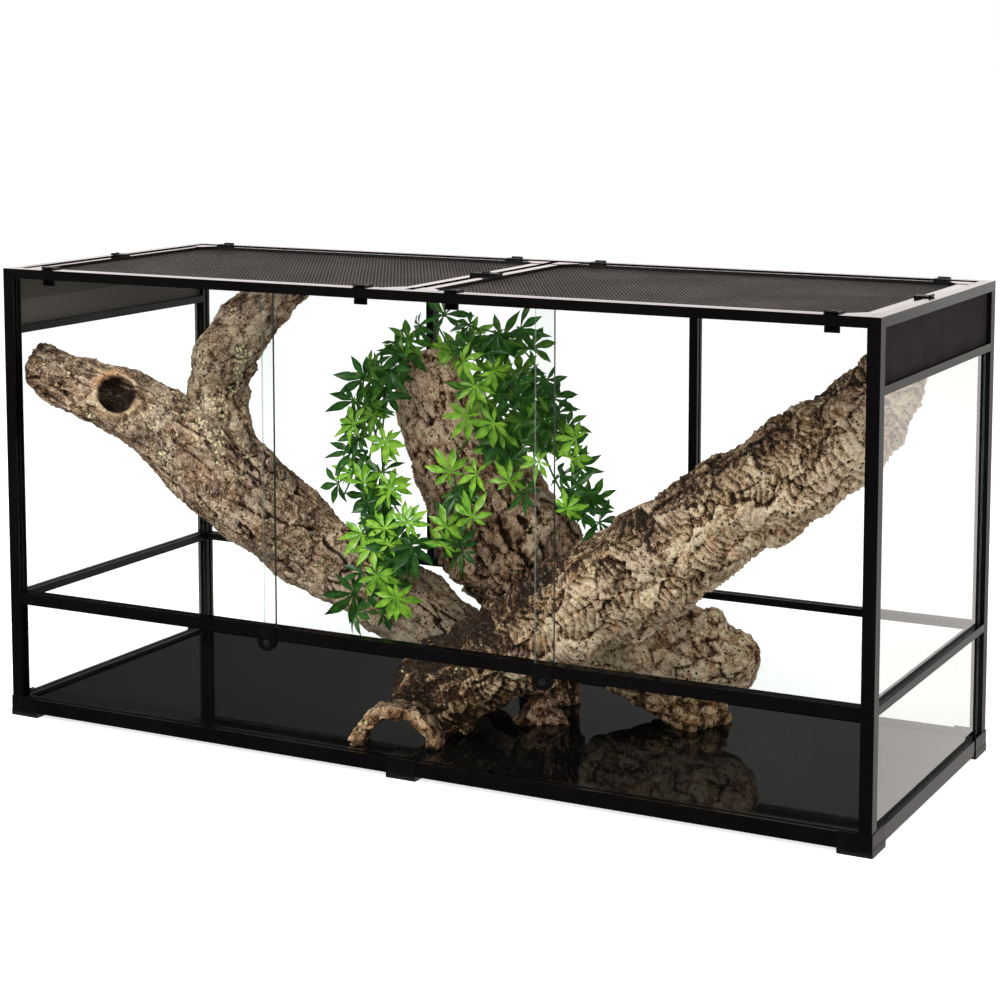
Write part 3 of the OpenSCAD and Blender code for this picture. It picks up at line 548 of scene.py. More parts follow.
def cork_finish(name):
    made, tree, out = material(name)
    place = add(tree, "TexCoord").outputs["Object"]
    depth, warm, pale, broken = (add(tree, "Attribute", attribute_name=word).outputs["Fac"]
                                 for word in ("depth", "warm", "pale", "broken"))
    grains = add(tree, "TexNoise", {"Vector": place, "Scale": 480.0, "Detail": 4.0, "Roughness": 0.75})
    patch = add(tree, "TexNoise", {"Vector": place, "Scale": 26.0, "Detail": 6.0, "Roughness": 0.62})
    # Flakes: warped cells of about 6 mm, each a little lighter or darker than the next.
    bend = add(tree, "VectorMath", {0: patch.outputs["Color"], 3: 0.02}, operation="SCALE")
    bent = add(tree, "VectorMath", {0: place, 1: bend}, operation="ADD")
    cells = add(tree, "TexVoronoi", {"Vector": bent, "Scale": 165.0})
    one = add(tree, "SeparateColor", {0: cells.outputs["Color"]})
    flake = add(tree, "MapRange", {0: one, 1: 0.0, 2: 1.0, 3: -0.06, 4: 0.06})
    # Chinks: where a noise crosses its middle value it leaves thin winding lines.
    winding = add(tree, "TexNoise", {"Vector": place, "Scale": 95.0, "Detail": 5.0, "Roughness": 0.62})
    off = add(tree, "Math", {0: winding, 1: 0.5}, operation="SUBTRACT")
    off = add(tree, "Math", {0: off}, operation="ABSOLUTE")
    chink = add(tree, "MapRange", {0: off, 1: 0.002, 2: 0.011, 3: 1.0, 4: 0.0})
    # Depth carries painted shade in hollows and low parts, and painted light on what stands out.
    high = add(tree, "MapRange", {0: depth, 1: -4.5, 2: 3.5, 3: 0.0, 4: 1.0})
    mottle = add(tree, "MapRange", {0: grains, 1: 0.36, 2: 0.64, 3: -0.33, 4: 0.33}, clamp=False)
    broad = add(tree, "MapRange", {0: patch, 1: 0.35, 2: 0.65, 3: -0.1, 4: 0.1})
    cut = add(tree, "Math", {0: chink, 1: -0.26}, operation="MULTIPLY")
    level = high
    for change in (mottle, flake, broad, cut):
        level = add(tree, "Math", {0: level, 1: change}, operation="ADD", use_clamp=change is cut)
    grey = ramp(tree, level, [(0.0, "#170c05"), (0.25, "#503b2a"), (0.45, "#8d7560"),
                              (0.68, "#b49b84"), (1.0, "#e4d2ba")])
    red = ramp(tree, level, [(0.0, "#170a04"), (0.24, "#4e3120"), (0.46, "#8e6a53"),
                             (0.7, "#bf967c"), (1.0, "#eac8ac")])
    sand = ramp(tree, level, [(0.0, "#1e1107"), (0.23, "#61442a"), (0.43, "#a6845f"),
                              (0.66, "#d3b38b"), (1.0, "#fae3c1")])
    fresh = ramp(tree, level, [(0.0, "#2a150b"), (0.3, "#77492b"), (0.6, "#bb8150"), (1.0, "#e6b88a")])
    body = add(tree, "Mix", {0: warm, 6: grey, 7: red}, data_type="RGBA")
    body = add(tree, "Mix", {0: pale, 6: body.outputs[2], 7: sand}, data_type="RGBA")
    body = add(tree, "Mix", {0: broken, 6: body.outputs[2], 7: fresh}, data_type="RGBA")
    # Pores: round dots, fainter where a slow noise is low.
    pores = add(tree, "TexVoronoi", {"Vector": place, "Scale": 135.0})
    open_pore = add(tree, "MapRange", {0: pores.outputs["Distance"], 1: 0.17, 2: 0.26, 3: 1.0, 4: 0.0})
    where = add(tree, "MapRange", {0: patch, 1: 0.44, 2: 0.56, 3: 0.1, 4: 1.0})
    pit = add(tree, "Math", {0: open_pore, 1: where}, operation="MULTIPLY")
    body = add(tree, "Mix", {0: pit, 6: body.outputs[2], 7: tone("#1d130d")}, data_type="RGBA")
    # Lichen: ragged dots, in colonies that are larger near the fork.
    speck = add(tree, "TexVoronoi", {"Vector": place, "Scale": 185.0})
    ragged = add(tree, "Math", {0: mottle, 1: 0.5, 2: speck.outputs["Distance"]}, operation="MULTIPLY_ADD")
    dot = add(tree, "MapRange", {0: ragged, 1: 0.3, 2: 0.38, 3: 1.0, 4: 0.0})
    colony = add(tree, "TexNoise", {"Vector": place, "Scale": 38.0, "Detail": 3.0})
    fork = add(tree, "VectorMath", {0: place, 1: FORK_AT}, operation="DISTANCE")
    near = add(tree, "MapRange", {0: fork.outputs["Value"], 1: 0.04, 2: 0.11, 3: 0.1, 4: -0.05})
    spread = add(tree, "Math", {0: colony, 1: near}, operation="ADD")
    grown = add(tree, "MapRange", {0: spread, 1: 0.585, 2: 0.62, 3: 0.0, 4: 1.0})
    lichen = add(tree, "Math", {0: dot, 1: grown}, operation="MULTIPLY")
    body = add(tree, "Mix", {0: lichen, 6: body.outputs[2], 7: tone("#efe6b4")}, data_type="RGBA")
    skin = add(tree, "BsdfPrincipled", {"Base Color": body.outputs[2], "Roughness": 0.85,
                                        "Specular IOR Level": 0.3})
    hilly = add(tree, "Math", {0: grains, 1: pit}, operation="SUBTRACT")
    notch = add(tree, "Math", {0: chink, 1: 0.5}, operation="MULTIPLY")
    hilly = add(tree, "Math", {0: hilly, 1: notch}, operation="SUBTRACT")
    relief = add(tree, "Bump", {"Strength": 1.0, "Distance": 0.0036, "Height": hilly})
    tree.links.new(relief.outputs[0], skin.inputs["Normal"])
    tree.links.new(skin.outputs[0], out.inputs["Surface"])
    return made


raw_cork = cork_finish("raw_cork_bark")
print("bark:", raw_cork.name)

# %% [markdown]
# ## The forked branch
# The thick branch comes down from the front left corner, and a fork rises from it to the
# lid. Its bark has long open furrows along the wood with flaky ridges between them. A
# furrow is where a slow noise, stretched along the branch, passes through zero. Between the
# furrows the crust is cracked into plates, and the plates into flakes, flat on this branch
# and rugged on the upright piece.

# %% Furrowed bark
# Sizes in mm of what the crust is made of, and a furrow's width as a share of its noise.
LUMP, PLATE, FLAKE, CHIP, FURROW_GAP, FURROW = 34, 26, 10, 5, 46, 0.035
# A piece's foot lies below this height, its top above the next, and the branch's tip left
# of the last.
FOOT_Z, TOP_Z, TIP_X = 240, 330, -470


def furrowed(warm, pale, seed, deep=5.0, torn=0.3, foot=0.0, rugged=0.35, tip=0.0, top=0.0):
    """The relief of furrowed bark. The foot gets painted shade by its share, painted light
    where the share is below 0; the tip is darker by its share, and the top gets painted light."""
    def relief(along, angle, places):
        bent = along + rough(along, 60, seed, 2)[:, None] * np.array([14, 14, 8])
        here = step_up(rough(along * (1, 1, 0.5), 80, seed + 2), -0.15, 0.2)
        furrow = here * np.exp(-(rough(bent * (1, 1, 0.18), FURROW_GAP, seed + 3, 3) / FURROW) ** 2)
        tilt, rift, own = shingles(along * (1, 1, 0.55), PLATE, seed + 5)
        flake_tilt, flake_rift, flake_own = shingles(along * (1, 1, 0.7), FLAKE, seed + 6)
        lumps = rough(along, LUMP, seed + 12, 2)
        chips = step_up(rough(along, CHIP, seed + 15), 0.25, 0.6)
        height = 2.6 * lumps + 5.0 * rugged * tilt - 2.2 * rugged * rift - deep * furrow
        height += (1.2 + 1.6 * rugged) * (flake_tilt + chips) - (0.3 + 0.8 * rugged) * flake_rift - 0.6
        patchy = rough(places, 45, seed + 21, 2)
        fresh = step_up(rough(places, 22, seed + 22, 3), 0.42, 0.7)
        # Painted shade at the foot, painted light there where foot is below 0, a darker tip, painted shade
        # in rifts and furrows, each plate's own tone, and painted light on the top.
        shade_and_tone = foot * step_up(FOOT_Z - places[:, 2], 0, 200) + tip * step_up(TIP_X - places[:, 0], 0, 90)
        shade_and_tone += 0.35 * (0.5 - own) + 0.3 * (0.5 - flake_own) + 0.25 * rift + 0.4 * furrow - 0.12
        shade_and_tone -= top * step_up(places[:, 2] - TOP_Z, 0, 100)
        tint = np.column_stack([np.clip(warm + 0.5 * patchy, 0, 1),
                                np.clip(pale + 0.5 * rough(places, 33, seed + 23), 0, 1),
                                torn * fresh, shade_and_tone])
        return height, tint
    return relief


# Lines through a log's middle: x, y, z and the radius there, in mm.
BRANCH_LINE = (
    (-604, -177, 474, 33), (-591, -172, 468, 33), (-552, -156, 451, 38), (-500, -135, 430, 44),
    (-447, -106, 395, 50), (-385, -77, 348, 64), (-326, -44, 282, 62), (-266, -14, 230, 57),
    (-200, 4, 190, 52), (-140, 16, 157, 55), (-92, 26, 130, 52), (-54, 32, 101, 45),
    (-22, 36, 73, 37), (4, 38, 38, 28))
ARM_LINE = (
    (-352, -66, 330, 44), (-372, -64, 385, 44), (-383, -58, 438, 42), (-375, -45, 490, 43),
    (-344, -25, 538, 39), (-320, -12, 570, 36), (-302, -2, 598, 35))

# The branch's lower part gets painted light, and its tip is darker.
branch = log_mesh("forked_branch", BRANCH_LINE, furrowed(0.25, 0.1, 1, foot=-0.75, tip=0.2),
                  bowl=(1, 14), pitch=(1.9, 2.0), extra=1)
arm = log_mesh("branch_arm", ARM_LINE, furrowed(0.1, 0.2, 14, 2.0, torn=0.15), bowl=(0, 4))

# %% [markdown]
# Where a side branch once grew, the bark curls round a knot hole. The points inside the
# hole's radius are pushed down into it and the rim round it is raised, which keeps one
# closed skin. The hole gets painted shade. The rim is paler, with painted light on its raised
# crest and lower left, and has a rusty torn patch.

# %% The knot hole
KNOT_AT = np.array([-466.0, -172.0, 444.0])
KNOT_R, KNOT_DEEP = 24.5, 26.0
# The rim's distance from the hole and its width, and the layer of bark that the knot is in.
RIM_OUT, RIM_WIDE, KNOT_LAYER = 4.5, 5.0, (-30, 40)
knot_turn = Matrix.Rotation(math.radians(-52), 3, "Z") @ Matrix.Rotation(math.radians(76), 3, "Y")
knot_way = np.array(knot_turn @ Vector((0, 0, 1)))


def sink_knot(piece):
    """Pushes the skin into the hole and curls the rim round it."""
    data = piece.data
    co = np.zeros(len(data.vertices) * 3, np.float32)
    data.vertices.foreach_get("co", co)
    co = co.reshape(-1, 3) / MM
    off = co - KNOT_AT
    level = off @ knot_way
    away = np.linalg.norm(off - level[:, None] * knot_way, axis=1)
    uneven = away + rough(co, 14, 77, 2) * 0.8
    near = (level > KNOT_LAYER[0]) & (level < KNOT_LAYER[1])
    sunk = near * (1 - step_up(uneven, KNOT_R - 1.5, KNOT_R + 1.5))
    rim = near * np.exp(-((uneven - KNOT_R - RIM_OUT) / RIM_WIDE) ** 2)
    curl = rim * (5.0 + 3.5 * rough(co, 9, 78, 2))
    co += knot_way * (curl - sunk * (KNOT_DEEP + level))[:, None]
    data.vertices.foreach_set("co", (co * MM).astype(np.float32).ravel())
    left = np.clip(-off[:, 0] / KNOT_R, 0, 1)
    below, above = np.clip(-off[:, 2] / KNOT_R, 0, 1), np.clip(off[:, 2] / KNOT_R, 0, 1)
    # The sunk points get painted shade; the rim gets painted light, most on its lower left.
    changes = {"depth": -4.6 * sunk + 1.8 * rim,
               "pale": rim * (0.35 + below * (0.4 + left)) - 0.6 * sunk,
               "broken": 1.6 * rim * above * left - 0.5 * sunk,
               "warm": -0.2 * sunk}
    for word, change in changes.items():
        stored = data.attributes[word].data
        values = np.zeros(len(co), np.float32)
        stored.foreach_get("value", values)
        values = np.clip(values + change, -6, 4 if word == "depth" else 1)
        stored.foreach_set("value", values.astype(np.float32))
    data.update()
    print("knot: sunk points", int((sunk > 0.5).sum()))


sink_knot(branch)

# %% [markdown]
# ## The large log
# The log that leans from the floor up to the right rear corner grew in thin yearly layers
# that slipped over each other. They lie across it as overlapping wrinkles, 10 mm apart, each
# with a steep front and a long back, like a pushed-up sleeve. A saw wave along the log
# gives them. It bulges and starts anew on each plate, and noise decides where it is deep.
# The lower end and the upper side get painted shade, and the lower side painted light.

# %% Wrinkled bark
WRINKLE, OLD_PLATE, OLD_FLAKE = 9.6, 38, 12
# The angle round the log of its lower side, where the wrinkles are deepest and painted
# light falls.
LOWER_SIDE = math.radians(200)
# Painted shade darkens the log's lower end, below this height and left of this place.
LOG_SHADE_Z, LOG_SHADE_X = 110, 200


def wrinkled(warm, pale, seed):
    """The relief of bark in wrinkles, like a pushed-up sleeve."""
    def relief(along, angle, places):
        tilt, rift, own = shingles(along * (1, 1, 0.8), OLD_PLATE, seed + 5)
        flake_tilt, flake_rift, flake_own = shingles(along * (0.8, 0.8, 1.2), OLD_FLAKE, seed + 6)
        bulge = 3.0 * rough(along, 20, seed + 1, 2)
        bulge += 9 * np.sin(along[:, 0] / 13 + 2 * own) * np.sin(along[:, 1] / 13)
        phase = along[:, 2] + 10 * rough(along, 45, seed, 2) + bulge + WRINKLE * own
        saw = (phase / WRINKLE) % 1.0
        fold = saw ** 1.3 * step_up(1 - saw, 0.0, 0.16)
        under = 0.5 + 0.5 * np.cos(angle - LOWER_SIDE)
        strong = np.clip(0.35 + 0.9 * under + 0.7 * rough(along, 50, seed + 4), 0.1, 1.3)
        flaky = np.clip(1.25 - strong, 0.2, 1.1)
        furrow = np.exp(-(rough(along * (1, 1, 0.3), 52, seed + 7, 3) / FURROW) ** 2)
        lumps = rough(along, LUMP, seed + 8, 2)
        chips = step_up(rough(along, CHIP, seed + 10), 0.25, 0.6)
        height = 3.6 * (fold - 0.4) * strong + 2.6 * lumps + 6.0 * tilt - 1.9 * rift - 2.4 * furrow
        height += flaky * (3.2 * flake_tilt - 1.1 * flake_rift) + 1.8 * chips
        torn = step_up(rough(places, 24, seed + 12, 3), 0.4, 0.66)
        grey = rough(places, 60, seed + 14, 2)
        # Painted shade at the lower end and on the upper side, painted light on the lower side, and each
        # plate's own tone.
        shade_and_tone = 0.55 * step_up(LOG_SHADE_Z - places[:, 2], 0, 50) + 0.95 * step_up(LOG_SHADE_X - places[:, 0], 0, 180)
        shade_and_tone += 0.65 * step_up(0.5 - under, -0.25, 0.45) - 0.35 * step_up(under, 0.5, 0.85)
        shade_and_tone += 0.35 * (0.5 - own) + 0.25 * (0.5 - flake_own)
        # The upper side is also made less pale, as painted shade.
        tint = np.column_stack([np.clip(warm + 0.4 * grey, 0, 1),
                                np.clip(pale - 0.5 * grey - 0.3 * (1 - under), 0, 1), 0.5 * torn, shade_and_tone])
        return height, tint
    return relief


LOG_LINE = (
    (558, 14, 545, 25), (552, 12, 516, 38), (522, 6, 476, 49), (488, 0, 434, 58), (434, -4, 393, 63),
    (359, -12, 341, 65), (296, -20, 292, 66), (231, -28, 246, 68), (167, -38, 203, 68),
    (101, -48, 158, 64), (36, -60, 116, 59), (-6, -70, 88, 60), (-31, -75, 68, 60), (-42, -76, 52, 60))
LOW_LOG_LINE = (
    (340, 108, 120, 16), (326, 108, 117, 32), (302, 108, 110, 47), (268, 108, 111, 60),
    (232, 108, 113, 67), (190, 106, 108, 64), (150, 104, 104, 56), (116, 104, 98, 45),
    (100, 104, 94, 38))
UPRIGHT_LINE = (
    (-124, 60, 496, 40), (-107, 62, 436, 60), (-77, 66, 363, 75), (-44, 74, 300, 87),
    (-14, 88, 240, 100), (6, 96, 196, 88), (22, 102, 145, 66), (34, 106, 95, 52), (40, 108, 45, 43),
    (42, 108, 0, 42))
# The short log is sawn flat below and lies on the layered flat.
SHORT_LOG_SEAT = FLOOR + 38.6

big_log = log_mesh("large_log", LOG_LINE, wrinkled(0.2, 0.6, 40), bowl=(10, 6), pitch=(1.8, 2.1))
low_log = log_mesh("short_log", LOW_LOG_LINE, furrowed(0.3, 0.6, 60, 2.5, torn=0.4, foot=-0.5, rugged=0.7),
                   flat=0.72, bowl=(4, 4), low=SHORT_LOG_SEAT)
# The upright's foot gets painted shade and its top painted light.
upright = log_mesh("upright_piece", UPRIGHT_LINE,
                   furrowed(0.8, 0.15, 80, 6.0, foot=0.7, rugged=0.9, top=0.45),
                   flat=0.62, bowl=(22, 4))

# %% [markdown]
# ## Loose pieces on the floor
# A half tube, a flat in layers and a broken wedge lie round the logs. Each is a block of
# points, a grid on each of its six sides, bent into shape by one function and then
# roughened. The half tube's sawn end faces the front and shows the pale fresh cork.

# %% Blocks bent into shape
# Sizes in mm of a block's swellings and of its cracked plates.
SWELL, CHUNK = 16, 15


def block(name, counts, shape, seed, tint, relief):
    """A closed block: shape gives places in mm from u, v and w, which run from 0 to 1."""
    index, uvw, faces = {}, [], []

    def corner(key):
        if key not in index:
            index[key] = len(uvw)
            uvw.append([k / c for k, c in zip(key, counts)])
        return index[key]

    for axis in range(3):
        b, c = (axis + 1) % 3, (axis + 2) % 3
        for side in (0, counts[axis]):
            for i in range(counts[b]):
                for j in range(counts[c]):
                    quad = []
                    for di, dj in ((0, 0), (1, 0), (1, 1), (0, 1)):
                        key = [0, 0, 0]
                        key[axis], key[b], key[c] = side, i + di, j + dj
                        quad.append(corner(tuple(key)))
                    faces.append(tuple(quad if side else quad[::-1]))
    u, v, w = np.array(uvw, float).T
    places = shape(u, v, w)
    middle = places.mean(axis=0)
    tilt, rift, own = shingles(places, CHUNK, seed + 5)
    lift = rough(places, SWELL, seed, 2) + 1.8 * tilt - 0.9 * rift + 0.6 * rough(places, CHIP, seed + 3, 3)
    lift *= relief
    away = places - middle
    away /= np.linalg.norm(away, axis=1)[:, None] + 1e-6
    # Depth paints light on what is lifted and shade on what sinks, plus each plate's own tone.
    return bark_piece(name, places + away * lift[:, None], faces, 1.3 * lift - 1 + own,
                      tint(u, v, w, places))


def set_down(x, y, z, at, degrees):
    """Places of a shape that is turned about +Z and set down on the floor."""
    c, s = math.cos(math.radians(degrees)), math.sin(math.radians(degrees))
    return np.column_stack([at[0] + c * x - s * y, at[1] + s * x + c * y, SEAT + z])


TUBE_AT, TUBE_TURN = (-36.0, -180.0), 16
TUBE_R, TUBE_WALL, TUBE_LEN = 57.0, 15.0, 38.0


def tube_shape(u, v, w):
    """u goes round the arch, v from the inner to the outer face, w from front to rear."""
    turn = math.pi * u
    r = TUBE_R - TUBE_WALL * (1 - v) * (1 + 0.12 * np.sin(9 * turn)) + 1.6 * np.sin(7 * turn)
    return set_down(r * np.cos(turn), TUBE_LEN * w, (0.9 + 0.04 * v) * r * np.sin(turn), TUBE_AT, TUBE_TURN)


def tube_tint(u, v, w, places):
    sawn = (w < 0.01).astype(float)
    spots = step_up(rough(places, 9, 3, 3), 0.1, 0.4)
    return np.column_stack([0.5 + 0 * u, 0.3 + 0.5 * sawn, 0.45 * sawn * (1 - spots)])


half_tube = block("half_tube", (90, 9, 20), tube_shape, 120, tube_tint, 2.0)

# %% [markdown]
# The layered flat grew in thick plates that stick out one below the other, and the wedge
# beside it is a corner broken from such a plate.

# %% The layered flat and the wedge
FLAT_AT, LAYERS, LAYER = (233.0, 106.0), 4, 9.5
LAYER_X, LAYER_Y, LAYER_SHIFT = 80.0, 46.0, 13.0
WEDGE_AT, WEDGE_TURN, WEDGE_HIGH = (74.0, 12.0), 35, 36


def flat_shape(u, v, w):
    """A pile of plates, each longer than the one below and pushed to the left of it."""
    level = np.minimum(np.floor(w * LAYERS + 1e-6), LAYERS - 1)
    px, py = 2 * u - 1, 2 * v - 1
    a = np.arctan2(py, px)
    reach = np.maximum(np.abs(px), np.abs(py))
    reach = reach * (1 - 0.03 * np.abs(2 * (w * LAYERS - level) - 1) ** 3)
    torn = 1 - 0.06 * np.abs(rough(np.column_stack([70 * np.cos(a), 50 * np.sin(a), 90 * level]), 14, 7, 3))
    turn = np.radians(60) * level
    wide = (LAYER_X * (0.55 + 0.15 * level) + 6 * np.sin(3 * a + turn)) * np.cos(a)
    long = (LAYER_Y * (1 - 0.05 * level) + 5 * np.sin(4 * a + np.radians(80) * level)) * np.sin(a)
    return np.column_stack([FLAT_AT[0] + LAYER_SHIFT * (1.5 - level) + wide * reach * torn,
                            FLAT_AT[1] + long * reach * torn, SEAT + LAYERS * LAYER * w])


def plain_tint(warm, pale, broken):
    return lambda u, v, w, places: np.column_stack([
        warm + 0 * u, np.clip(pale + 0.4 * rough(places, 20, 9, 2), 0, 1),
        broken * step_up(rough(places, 14, 10, 3), 0.0, 0.5)])


def wedge_shape(u, v, w):
    """A broken corner: thin and low at both ends, high in the middle."""
    high = WEDGE_HIGH * np.clip(1 - np.abs(2 * u - 1.05) ** 1.4, 0.08, 1)
    return set_down(-32 + 66 * u, -18 + 36 * v, high * w, WEDGE_AT, WEDGE_TURN)


flat_piece = block("layered_flat", (100, 64, 26), flat_shape, 140, plain_tint(0.5, 0.9, 0.5), 2.2)
# The wedge has no pale share: a darker red-brown, partly its own colour and partly painted shade.
wedge = block("broken_wedge", (36, 22, 20), wedge_shape, 160, plain_tint(0.8, 0.0, 0.4), 2.0)

for piece, node in ((branch, "cork_branch"), (arm, "cork_arm"), (upright, "cork_upright"),
                    (big_log, "cork_log"), (low_log, "cork_low_log"), (half_tube, "cork_tube"),
                    (flat_piece, "cork_flats")):
    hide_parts(node)
for piece in (branch, arm, upright, big_log, low_log, half_tube, flat_piece, wedge):
    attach(piece, "enclosure")

# %% [markdown]
# ## The camera
# The photograph looks from the front right, a little above the lids. The lens was fitted
# to the corners of the frame. It is made before the vines, because their leaves are placed
# by where the photograph shows them.

# %% Camera
EYE = Vector((1.4005, -2.6388, 0.9055))
YAW, PITCH = math.radians(27.6106), math.radians(6.29)
LENS, SENSOR, SHIFT_Y = 83.24, 36.0, -0.2

eye_data = bpy.data.cameras.new("camera")
eye_data.lens, eye_data.sensor_width, eye_data.shift_y = LENS, SENSOR, SHIFT_Y
eye = bpy.data.objects.new("camera", eye_data)
eye.location = EYE
eye.rotation_euler = (math.pi / 2 - PITCH, 0, YAW)
bpy.context.scene.collection.objects.link(eye)
bpy.context.scene.camera = eye
PICTURE = 1000
FOCAL = LENS / SENSOR * PICTURE
eye_turn = eye.rotation_euler.to_matrix()
print("camera looks along", [round(c, 3) for c in eye_turn @ Vector((0, 0, -1))])


def seen_at(px, py, depth):
    """The place in mm that the pixel shows on the upright plane at y = depth."""
    way = eye_turn @ Vector((px - PICTURE / 2, PICTURE / 2 - py + SHIFT_Y * PICTURE, -FOCAL))
    t = (depth * MM - EYE.y) / way.y
    return np.array(EYE + way * t) / MM


def pixel_of(place):
    """The pixel that shows a place given in mm."""
    local = eye_turn.transposed() @ (Vector(place) * MM - EYE)
    return (PICTURE / 2 + FOCAL * local.x / -local.z,
            PICTURE / 2 - FOCAL * local.y / -local.z + SHIFT_Y * PICTURE)


print("top of the upright shows at", [round(c) for c in pixel_of((-118, 60, 499))])

# %% [markdown]
# ## The vines
# Artificial vines are wires wrapped in green plastic. Their leaves are printed cloth, die
# cut into seven fingers and pressed over a mould, so each finger has a fold along its
# middle rib and droops to its tip. Two cloths are used on one vine, a dark one for the old
# leaves and a light one for the young. Each leaf here has six or seven fingers.

# %% One leaf as a mesh
LEAF_R = 45.0
# Degrees from one finger to the next.
FINGER_TURN = 46
# A finger's outline: the share of its length, and how wide it is there.
FINGER = ((0.0, 0.14), (0.14, 0.26), (0.32, 0.66), (0.5, 1.0), (0.66, 0.9), (0.82, 0.5), (0.93, 0.18),
          (1.0, 0.0))


def finger(length, width, droop, fold, turn):
    """Points and faces of one finger, which starts at the origin and lies along +X."""
    points, rib = [], []
    for t, wide in FINGER:
        sag = -droop * t ** 1.8 * length
        half = width * wide
        for side in (-1, 0, 1):
            ruffle = 0.04 * length * math.sin(9 * t + side) * abs(side) * wide
            points.append((length * t, side * half, sag + fold * abs(side) * half + ruffle))
            rib.append(1.0 - abs(side))
    faces = [(i * 3 + k, i * 3 + k + 3, i * 3 + k + 4, i * 3 + k + 1)
             for i in range(len(FINGER) - 1) for k in range(2)]
    return np.array(points) @ np.array(Matrix.Rotation(turn, 3, "Z").transposed()), faces, rib


def leaf(rng, size):
    """A leaf's fingers, spread round its stalk, the middle one longest."""
    points, faces, rib = [], [], []
    for k in range(-3, rng.choice((3, 4, 4))):
        length = size * (1 - 0.05 * k * k) * rng.uniform(0.9, 1.05)
        at, made, ribs = finger(length, length * rng.uniform(0.13, 0.17), rng.uniform(0.05, 0.6),
                                rng.uniform(0.35, 0.75), math.radians(FINGER_TURN * k + rng.uniform(-7, 7)))
        faces += [tuple(i + len(points) for i in f) for f in made]
        points += at.tolist()
        rib += ribs
    return np.array(points), faces, rib


sample = leaf(random.Random(1), LEAF_R)
print("a leaf has", len(sample[0]), "points")

# %% [markdown]
# The strands hang from the top of the upright piece. Each is a chosen line of points, the
# same line that its solid follows. The leaves are placed where the photograph shows them,
# as far back as the nearest strand, and a stalk joins each to that strand.

# %% Strands and leaf places
STRANDS_LEFT = (
    ((-112, 55, 488), (-134, 10, 498), (-150, -5, 473), (-174, -18, 432), (-179, -30, 382),
     (-181, -40, 336), (-193, -46, 305)),
    ((-112, 55, 488), (-124, 6, 486), (-141, -12, 443), (-142, -28, 378), (-128, -38, 320),
     (-99, -44, 281), (-85, -48, 246)),
    ((-141, -12, 443), (-155, -34, 371), (-155, -48, 306), (-148, -60, 249), (-154, -74, 196),
     (-148, -78, 168)),
    ((-99, -44, 281), (-112, -54, 244), (-126, -64, 211), (-104, -72, 184), (-80, -76, 176)))
STRANDS_RIGHT = (
    ((-96, 56, 500), (-104, 10, 530), (-85, 8, 545), (-58, 4, 513), (-17, -4, 467), (1, -8, 422),
     (26, -10, 382), (63, -12, 331)),
    ((-96, 56, 500), (-96, 34, 548), (-38, 26, 537), (15, 16, 529), (56, 10, 506), (86, 6, 466),
     (106, 2, 420), (129, -2, 370), (145, -4, 336), (166, -4, 316)),
    ((-58, 4, 513), (-20, 4, 500), (20, -4, 476), (54, -8, 443), (82, -12, 400), (103, -12, 357),
     (124, -12, 322)),
    ((1, -8, 422), (-24, -12, 390), (-40, -12, 357), (-35, -14, 318), (-16, -16, 290),
     (-27, -18, 258)))

# Pixels of the leaves' middles, read off the photograph.
LIGHT_LEAVES = (
    (445, 346), (463, 361), (493, 371), (475, 386), (467, 416), (494, 423), (450, 472), (477, 474),
    (509, 482), (472, 517), (446, 527), (576, 439), (539, 462), (571, 459), (387, 441), (390, 487),
    (406, 522), (385, 529), (567, 509), (354, 424), (385, 442), (352, 473), (363, 483), (390, 493),
    (408, 524), (362, 534), (372, 547), (377, 575), (397, 600), (389, 545), (395, 597), (444, 546))
DARK_LEAVES = (
    (483, 340), (521, 328), (498, 335), (445, 315), (420, 325), (470, 325), (499, 393), (518, 398),
    (546, 380), (552, 398), (557, 414), (488, 441), (503, 441), (513, 459), (526, 494), (536, 444),
    (547, 426), (566, 449), (579, 466), (561, 476), (572, 491), (587, 499), (584, 512), (599, 522),
    (458, 494), (441, 509), (460, 544), (395, 540), (410, 545), (393, 355), (390, 370), (403, 353),
    (382, 368), (372, 381), (387, 391), (354, 401), (377, 404), (359, 440), (352, 452), (364, 460),
    (382, 473), (339, 483), (367, 503), (377, 519), (395, 547), (413, 547), (362, 572), (354, 593),
    (382, 613), (357, 613), (387, 585), (394, 560), (407, 554), (463, 552), (385, 598))
# Round these pixels the leaves are too dense to count: middle, half width and height, number.
CROWDS = ((496, 346, 40, 16, 10), (490, 388, 24, 20, 9), (508, 418, 18, 22, 6),
          (534, 396, 18, 32, 8), (556, 446, 20, 26, 6), (516, 440, 22, 26, 8), (404, 348, 18, 8, 3),
          (380, 378, 16, 18, 6), (366, 430, 12, 32, 7), (374, 500, 10, 28, 6), (379, 556, 10, 28, 5),
          (452, 500, 12, 20, 2), (590, 500, 10, 12, 3))


def strand_points(strands, gap=6.0):
    """Every few millimetres a point along the strands."""
    found = []
    for line in strands:
        for p, q in zip(line, line[1:]):
            p, q = np.array(p, float), np.array(q, float)
            n = max(1, int(np.linalg.norm(q - p) / gap))
            found += [p + (q - p) * k / n for k in range(n + 1)]
    return np.array(found)


left_points, right_points = strand_points(STRANDS_LEFT), strand_points(STRANDS_RIGHT)
print("strand points:", len(left_points), "+", len(right_points))

# %% [markdown]
# One mesh holds a vine. Its strands and stalks are thin six-sided tubes, and its leaves
# face outwards with a random lean. An attribute says how light a leaf is, and another
# where its ribs run.

# %% Building a vine
STRAND_R, STALK_R = 1.3, 0.6


